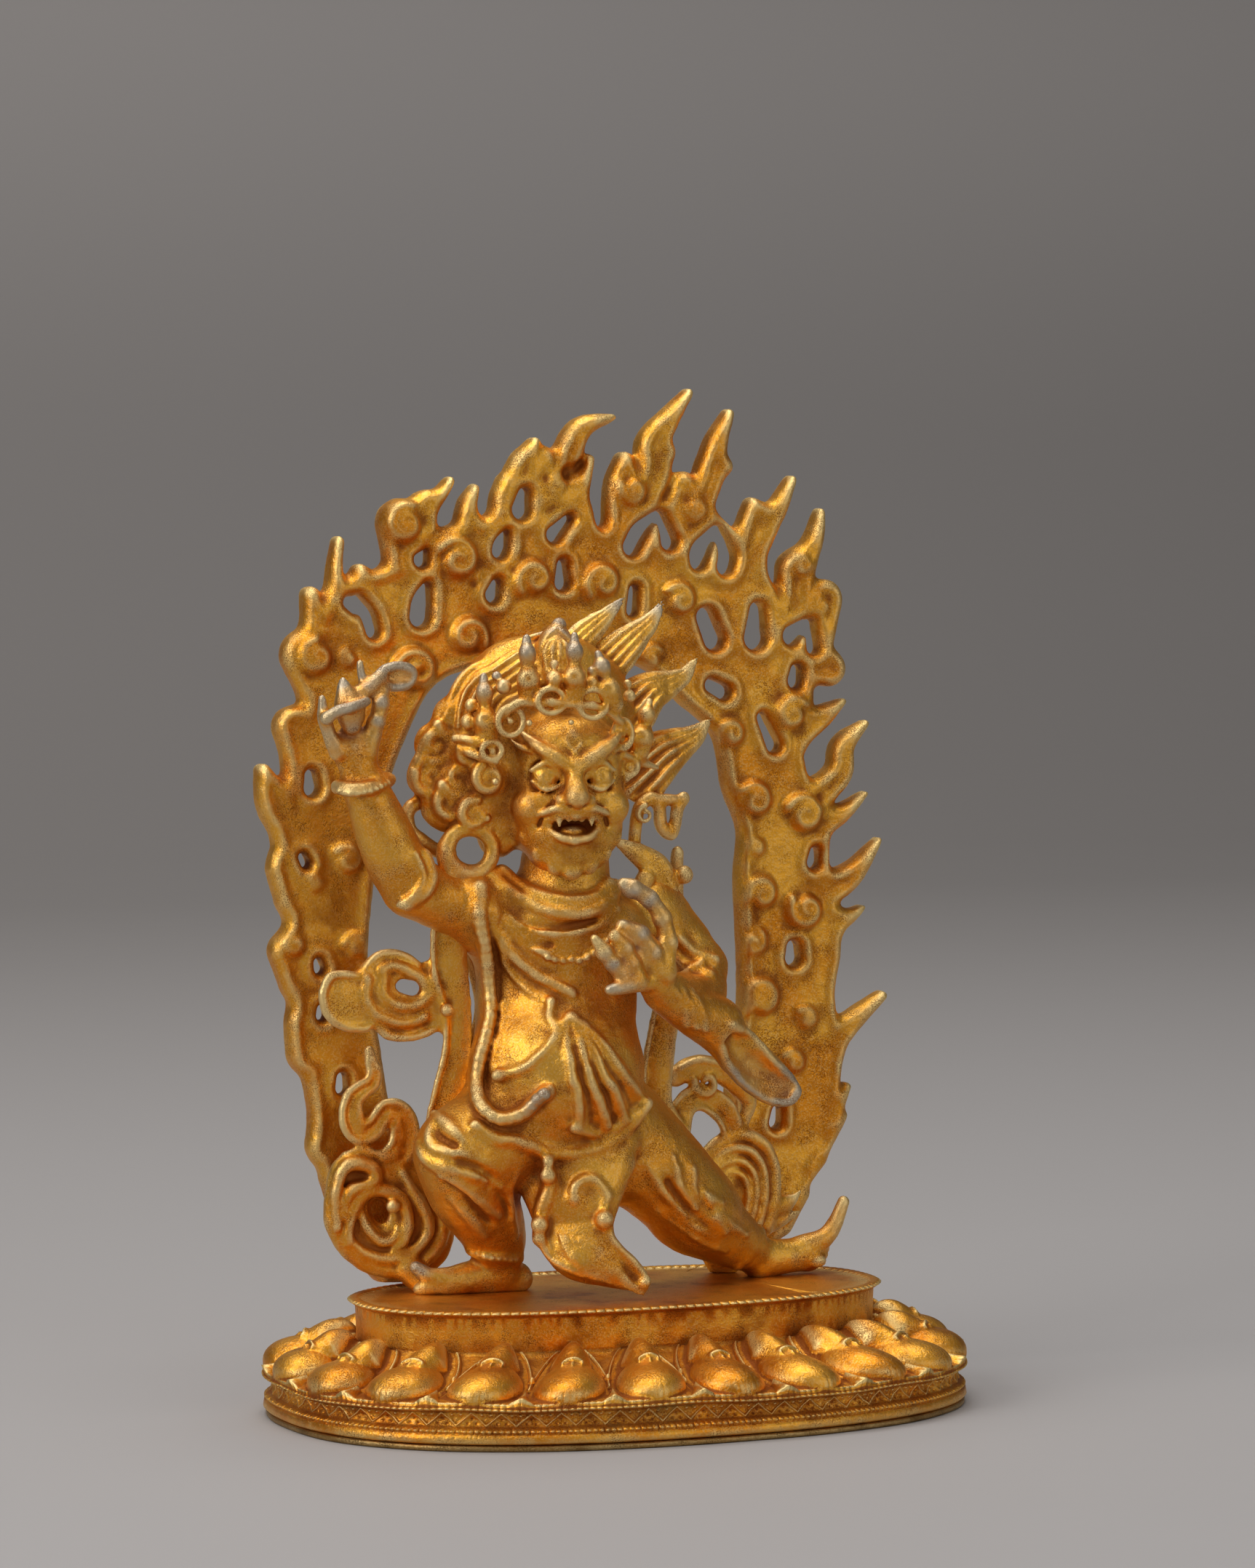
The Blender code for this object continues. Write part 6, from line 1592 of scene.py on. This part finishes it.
    def right_leaf(self, form: Casting) -> None:
        """The broad leaf of cloth behind the outstretched leg, with its ribs and tail."""
        form.knob(6.8, 12.0, 4.0, (2.5, 0.5, 2.8), blend=0.4)
        form.bar([(5.6, 13.4, 3.9, 1.1), (5.2, 11.0, 3.9, 1.4), (5.6, 8.8, 3.9, 1.1), (6.2, 7.2, 3.9, 0.8)],
                 flat=0.4, face=self.toward, blend=0.4)
        outer = np.array([(4.4, 13.4), (5.7, 14.6), (7.0, 15.0), (8.1, 14.7), (8.9, 13.8), (9.2, 12.5),
                          (9.1, 11.0), (8.7, 9.6)])
        middle = np.array((6.2, 11.2))
        for share, half, depth in ((1.0, 0.4, 3.9), (0.8, 0.28, 3.5), (0.62, 0.26, 3.4), (0.45, 0.22, 3.4)):
            rows = middle + share * (outer - middle)
            form.bar([(x, z, depth, half) for x, z in rows], blend=0.14)
        form.bar([(8.6, 10.9, 4.1, 0.8), (9.6, 10.9, 4.1, 0.6), (10.3, 11.2, 4.1, 0.36),
                  (10.9, 11.7, 4.1, 0.12)], flat=0.7, blend=0.2)
        form.bar([(8.6, 9.8, 4.1, 0.6), (9.6, 10.0, 4.1, 0.4), (10.8, 10.5, 4.1, 0.15)], flat=0.7, blend=0.2)

    def build(self, finish: Gilding) -> None:
        """Makes the casting and dresses it."""
        form = Casting(Wax((-18.6, 0.2, self.floor - 0.3), (14.6, 5.4, 34.0), 0.1))
        self.left_side(form)
        self.flare(form)
        self.left_scrolls(form)
        self.right_side(form)
        self.right_leaf(form)
        form.wax.roughen(CAST_GRAIN, 1)
        form.wax.trim(self.floor)
        piece = cast(form.wax, "guardian_scarves")
        mount(piece, "gilt_figure", "figure")
        finish.dress(piece)


# Finishes


class Mask(Enum):
    """What the group of worn gilding and painted light gives, in the order of its outputs: painted
    highlight, painted shade with brown oxide, patches, stains, pits, bump height, painted glints and
    verdigris.
    """

    EDGE_HIGHLIGHT = "Bright"
    DARK = "ShadeAndRust"
    CLOUD = "Cloud"
    STAIN = "Stain"
    PIT = "Pit"
    HEIGHT = "Height"
    GRAIN_GLINT = "GrainGlint"
    GREEN = "Green"


class Nodes:
    """A node tree with short calls to add nodes and links."""

    def __init__(self, tree: bpy.types.NodeTree) -> None:
        """Keeps the tree."""
        self.tree = tree

    def add(self, kind: str, **settings: object) -> bpy.types.Node:
        """Adds a node. A setting is a property of the node, or a value or link for an input.

        Args:
            kind: node type name, without its ShaderNode.
            settings: properties by name, and inputs as in_ and their number.

        Returns:
            The node.
        """
        node = self.tree.nodes.new("ShaderNode" + kind if kind != "NodeGroupOutput" else kind)
        for name, value in settings.items():
            if not name.startswith("in_"):
                setattr(node, name, value)
                continue
            socket = node.inputs[int(name[3:])]
            if isinstance(value, bpy.types.NodeSocket):
                self.tree.links.new(value, socket)
            else:
                socket.default_value = value
        return node

    def math(self, operation: str, first: object, second: object = 0.0,
             clamp: bool = False) -> bpy.types.NodeSocket:
        """The result of a math node."""
        return self.add("Math", operation=operation, use_clamp=clamp, in_0=first, in_1=second).outputs[0]

    def ramp(self, value: object, low: float, high: float) -> bpy.types.NodeSocket:
        """The value stretched smoothly so that low gives 0 and high gives 1."""
        return self.add("MapRange", interpolation_type="SMOOTHSTEP", in_0=value, in_1=low,
                        in_2=high).outputs[0]

    def blend(self, share: object, first: object, second: object) -> bpy.types.NodeSocket:
        """A colour between first and second."""
        node = self.add("Mix", data_type="RGBA")
        for socket, value in ((node.inputs[0], share), (node.inputs[6], first), (node.inputs[7], second)):
            if isinstance(value, bpy.types.NodeSocket):
                self.tree.links.new(value, socket)
            elif socket == node.inputs[0]:
                socket.default_value = value
            else:
                socket.default_value = (*value, 1.0)
        return node.outputs[2]

    def noise(self, where: bpy.types.NodeSocket, scale: float, detail: float = 3.0) -> bpy.types.NodeSocket:
        """Fractal noise whose grains are about 1/scale of a metre."""
        return self.add("TexNoise", in_0=where, in_2=scale, in_3=detail).outputs[0]


def wear_and_light_group() -> bpy.types.ShaderNodeTree:
    """Masks that every gilt piece shares, from its stored edges and hollows and from noise: painted
    highlight on the edges, painted shade with brown oxide in the hollows and narrow grooves, painted glints,
    and stains, pits and verdigris.
    """
    group = bpy.data.node_groups.new("gilding wear", "ShaderNodeTree")
    # Inputs: strength of the painted highlight on the edges, of the hollows and of the pits
    for name in ("EdgeHighlightGain", "HollowGain", "Pits"):
        group.interface.new_socket(name=name, in_out="INPUT",
                                   socket_type="NodeSocketFloat").default_value = 1.0
    for mask in Mask:
        group.interface.new_socket(name=mask.value, in_out="OUTPUT", socket_type="NodeSocketFloat")
    nodes = Nodes(group)
    given = group.nodes.new("NodeGroupInput").outputs
    where = nodes.add("TexCoord").outputs["Object"]
    edge = nodes.add("Attribute", attribute_name="edge").outputs["Fac"]
    hollow = nodes.add("Attribute", attribute_name="hollow").outputs["Fac"]
    cloud = nodes.noise(where, 240.0, 5.0)
    patch = nodes.noise(where, 780.0, 5.0)
    grain = nodes.noise(where, 3200.0, 4.0)
    glint_grain = nodes.noise(where, 9000.0, 3.0)
    uneven = nodes.math("MULTIPLY", nodes.math("SUBTRACT", patch, 0.5), 0.22)
    # Painted highlight: the raised edges paler
    edge_highlight_mask = nodes.ramp(nodes.math("ADD", nodes.math("MULTIPLY", edge, given["EdgeHighlightGain"]), uneven), 0.03, 0.20)
    # Painted shade with brown oxide: the hollows and narrow grooves darker
    hollowed = nodes.ramp(nodes.math("ADD", nodes.math("MULTIPLY", hollow, given["HollowGain"]), uneven), 0.02,
                          0.24)
    crease = nodes.ramp(nodes.math("ADD", nodes.math("MULTIPLY", edge, -1.0), uneven), 0.02, 0.16)
    shade_and_rust_mask = nodes.math("MAXIMUM", nodes.math("MULTIPLY", hollowed, 0.8), crease)
    fine = nodes.ramp(nodes.noise(where, 14000.0, 2.0), 0.50, 0.62)
    cluster = nodes.ramp(nodes.math("ADD", patch, nodes.math("MULTIPLY", hollowed, 0.20)), 0.38, 0.70)
    pit = nodes.math("MULTIPLY", nodes.math("MULTIPLY", fine, cluster), given["Pits"], clamp=True)
    rises = nodes.math("ADD", nodes.math("MULTIPLY", grain, 0.75), nodes.math("MULTIPLY", glint_grain, 0.45))
    height = nodes.math("SUBTRACT", rises, nodes.math("MULTIPLY", pit, 0.35))
    spread = nodes.math("ADD", nodes.noise(where, 430.0, 6.0), nodes.math("MULTIPLY", hollow, 0.5))
    stain = nodes.ramp(spread, 0.52, 0.72)
    # Painted glints: pale specks on the fine grain
    painted_glint = nodes.ramp(glint_grain, 0.46, 0.64)
    green = nodes.math("MULTIPLY", nodes.ramp(nodes.noise(where, 620.0, 4.0), 0.60, 0.70), hollowed)
    nodes.add("NodeGroupOutput", in_0=edge_highlight_mask, in_1=shade_and_rust_mask, in_2=cloud, in_3=stain, in_4=pit, in_5=height,
              in_6=painted_glint, in_7=green)
    return group


@dataclass(frozen=True)
class Gilding:
    """A fire-gilt or bare sheet finish, from the painted highlight on the edges down to painted shade with
    brown oxide in the hollows.

    Args:
        name: material name.
        pale: colour of the painted highlight on the edges and of the painted glints on the grain.
        field: colour of the open surface.
        warm: colour of its cloudy patches.
        rust_and_shade: colour of the painted shade, with some brown oxide, in the hollows and narrow
            grooves, and of the stains and pits.
        rough: roughness of the open surface.
        edge_highlight_gain: strength of the painted highlight on the edges.
        stain: strength of the painted shade with brown oxide in the hollows, and of the verdigris and pit
            clusters there.
        pits: strength of the casting pits.
        grain: depth of the fine grain, in millimetres.
        silver: colour where handling has worn the gilding through.
        verdigris: colour of the greenish specks in the hollows.
    """

    name: str
    pale: Row
    field: Row
    warm: Row
    rust_and_shade: Row
    rough: float
    edge_highlight_gain: float = 1.0
    stain: float = 1.0
    pits: float = 1.0
    grain: float = 0.05
    silver: Row = (0.50, 0.43, 0.34)
    verdigris: Row = (0.17, 0.16, 0.05)

    def dress(self, piece: bpy.types.Object) -> None:
        """Gives the piece its material: colours by the masks of worn gilding and of painted highlight, shade
        and glints, and a bump of grain and pits.
        """
        material = bpy.data.materials.new(self.name)
        material.use_nodes = True
        nodes = Nodes(material.node_tree)
        shader = material.node_tree.nodes["Principled BSDF"]
        group = bpy.data.node_groups.get("gilding wear") or wear_and_light_group()
        # Strengths of the painted highlight on the edges, of the painted shade with brown oxide in the
        # hollows, and of the pits
        wear_and_light = nodes.add("Group", node_tree=group, in_0=self.edge_highlight_gain, in_1=self.stain, in_2=self.pits)
        edge_highlight_mask, shade_and_rust_mask, cloud, stain, pit, height, glint_grain, green = (wear_and_light.outputs[mask.value] for mask in Mask)
        cloudy = nodes.blend(nodes.ramp(cloud, 0.40, 0.62), self.field, self.warm)
        # Painted glints: pale specks on the fine grain
        glinted = nodes.blend(nodes.math("MULTIPLY", glint_grain, 0.27), cloudy, self.pale)
        stained = nodes.blend(nodes.math("MULTIPLY", stain, 0.55), glinted, self.rust_and_shade)
        # Painted shade with brown oxide in the hollows and narrow grooves
        shaded_and_rusted = nodes.blend(nodes.math("MULTIPLY", shade_and_rust_mask, 0.9), stained, self.rust_and_shade)
        # Painted highlight: the raised edges paler
        edge_highlighted = nodes.blend(edge_highlight_mask, shaded_and_rusted, self.pale)
        specked = nodes.blend(nodes.math("MULTIPLY", green, 0.6), edge_highlighted, self.verdigris)
        worn = nodes.add("Attribute", attribute_name="worn").outputs["Fac"]
        bare = nodes.math("MULTIPLY", worn, nodes.math("ADD", edge_highlight_mask, 0.25), clamp=True)
        silvered = nodes.blend(nodes.math("MULTIPLY", bare, 0.85), specked, self.silver)
        pitted = nodes.blend(nodes.math("MULTIPLY", pit, 0.7), silvered, [0.8 * c for c in self.rust_and_shade])
        duller = nodes.math("MULTIPLY", shade_and_rust_mask, 0.20)
        dusty = nodes.math("MULTIPLY", edge_highlight_mask, 0.06)
        rough = nodes.math("ADD", nodes.math("ADD", duller, self.rough), dusty, clamp=True)
        metal = nodes.math("SUBTRACT", 1.0, nodes.math("MULTIPLY", shade_and_rust_mask, 0.30), clamp=True)
        bump = nodes.add("Bump", in_0=1.0, in_1=self.grain * TO_METRES, in_3=height)
        for name, value in (("Base Color", pitted), ("Roughness", rough), ("Metallic", metal),
                            ("Normal", bump.outputs[0])):
            material.node_tree.links.new(value, shader.inputs[name])
        piece.data.materials.clear()
        piece.data.materials.append(material)


FIGURE_GILDING = Gilding("figure gilding", (0.90, 0.66, 0.29), (0.85, 0.44, 0.058), (0.77, 0.32, 0.028),
                         (0.32, 0.085, 0.007), 0.42)
ARCH_GILDING = Gilding("arch gilding", (0.90, 0.65, 0.26), (0.85, 0.41, 0.040), (0.74, 0.28, 0.018),
                       (0.32, 0.085, 0.007), 0.44)
BASE_GILDING = Gilding("pedestal gilding", (0.90, 0.65, 0.26), (0.86, 0.41, 0.044), (0.75, 0.28, 0.018),
                       (0.30, 0.072, 0.006), 0.42)
SHEET_COPPER = Gilding("sheet copper", (0.75, 0.55, 0.26), (0.45, 0.30, 0.12), (0.38, 0.22, 0.07),
                       (0.10, 0.05, 0.015), 0.45)


# Camera, light and floor


@dataclass
class Studio:
    """The viewing point, a pale floor and soft light, in metres."""

    eye: Row = (-0.115744, -0.272676, 0.047447)
    aim: Row = (87.55443, 0.0, -23.10969)
    image_height: int = 2156
    focal_pixels: float = 7320.0
    sensor: float = 36.0
    # Name, place, point that it faces, size, watts and colour
    panels: tuple[tuple, ...] = (
        ("key", (-0.40, -0.12, 0.24), (0, 0, 0.03), 0.24, 0.90, (1.0, 0.98, 0.95)),
        ("top", (-0.05, -0.02, 0.42), (0, 0, 0.03), 0.36, 0.90, (1.0, 0.99, 0.98)),
        ("fill", (0.22, -0.48, 0.14), (0, 0, 0.03), 0.50, 0.62, (1.0, 0.99, 0.98)),
        ("back", (0.0, 0.25, 0.75), (0, 0.8, 0.12), 0.50, 1.80, (1.0, 0.97, 0.95)),
    )
    # The floor runs back to where it bends up into a wall: start of the bend, its radius and the top
    sweep: tuple[float, float, float] = (0.42, 0.35, 1.8)
    # Floor colours: darker towards the back as painted shade, lighter again up the wall as painted light
    near_floor: Row = (0.425, 0.41, 0.408)
    far_floor: Row = (0.297, 0.281, 0.274)
    wall_top: Row = (0.395, 0.375, 0.367)
    surround: Row = (0.80, 0.78, 0.76, 1)
    surround_strength: float = 0.18

    def camera(self) -> None:
        """Sets up the camera."""
        lens = bpy.data.cameras.new("camera")
        lens.sensor_fit = "VERTICAL"
        lens.sensor_height = self.sensor
        lens.lens = self.sensor * self.focal_pixels / self.image_height
        lens.clip_start = 0.01
        holder = bpy.data.objects.new("camera", lens)
        holder.location = self.eye
        holder.rotation_euler = [math.radians(angle) for angle in self.aim]
        bpy.context.scene.collection.objects.link(holder)
        bpy.context.scene.camera = holder

    def lights(self) -> None:
        """Hangs the soft panels, three about the figure and one on the wall, in an even surround."""
        for name, place, aim, size, watts, color in self.panels:
            data = bpy.data.lights.new(name, "AREA")
            data.size = size
            data.energy = watts
            data.color = color
            lamp = bpy.data.objects.new(name, data)
            lamp.location = place
            toward = Vector(aim) - Vector(place)
            lamp.rotation_euler = toward.to_track_quat("-Z", "Y").to_euler()
            bpy.context.scene.collection.objects.link(lamp)
        world = bpy.data.worlds.new("surround")
        world.use_nodes = True
        back = world.node_tree.nodes["Background"]
        back.inputs[0].default_value = self.surround
        back.inputs[1].default_value = self.surround_strength
        bpy.context.scene.world = world
        bpy.context.scene.view_settings.view_transform = "Standard"

    def floor(self) -> None:
        """Lays the floor, a pale sheet that bends up into a greyer wall far behind; its colour is painted
        darker towards the back, as painted shade, and lighter again up the wall, as painted light.
        """
        start, radius, top = self.sweep
        bend = np.radians(np.linspace(0, 90, 13))
        depth = np.concatenate([[-1.5], np.linspace(-0.5, start, 12), start + radius * np.sin(bend[1:]),
                                [start + radius]])
        height = np.concatenate([np.zeros(13), radius * (1 - np.cos(bend[1:])), [top]])
        sides = (-2.0, 2.0)
        points = np.stack([np.repeat(sides, len(depth)), np.tile(depth, 2), np.tile(height, 2)], axis=1)
        row = np.arange(len(depth) - 1)
        faces = np.stack([row, row + len(depth), row + len(depth) + 1, row + 1], axis=1).astype(np.int32)
        sheet = add_piece("floor", points / TO_METRES, faces)
        material = bpy.data.materials.new("pale floor")
        material.use_nodes = True
        nodes = Nodes(material.node_tree)
        where = nodes.add("TexCoord").outputs["Object"]
        axes = nodes.add("SeparateXYZ", in_0=where).outputs
        # Painted shade: the floor darker towards the back
        away = nodes.ramp(axes[1], -0.10, 0.55)
        tone = nodes.blend(away, self.near_floor, self.far_floor)
        # Painted light: the wall lighter again above the bend
        aloft = nodes.ramp(axes[2], 0.06, 0.16)
        tone = nodes.blend(aloft, tone, self.wall_top)
        mottle = nodes.math("ADD", nodes.math("MULTIPLY", nodes.noise(where, 90.0, 4.0), 0.06), 0.67)
        shader = material.node_tree.nodes["Principled BSDF"]
        material.node_tree.links.new(tone, shader.inputs["Base Color"])
        material.node_tree.links.new(mottle, shader.inputs["Roughness"])
        sheet.data.materials.append(material)


def main() -> None:
    """Builds the pieces in order."""
    logging.basicConfig(level=logging.INFO, format="%(message)s")
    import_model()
    studio = Studio()
    studio.camera()
    studio.lights()
    studio.floor()
    pedestal = LotusBase()
    pedestal.build(BASE_GILDING)
    ClosingSheet().build(pedestal, SHEET_COPPER)
    FlameArch().build(ARCH_GILDING)
    for part in (GuardianHead(), GuardianBody(), GuardianScarves()):
        part.build(FIGURE_GILDING)
    bpy.context.view_layer.update()


if __name__ == "__main__":
    main()
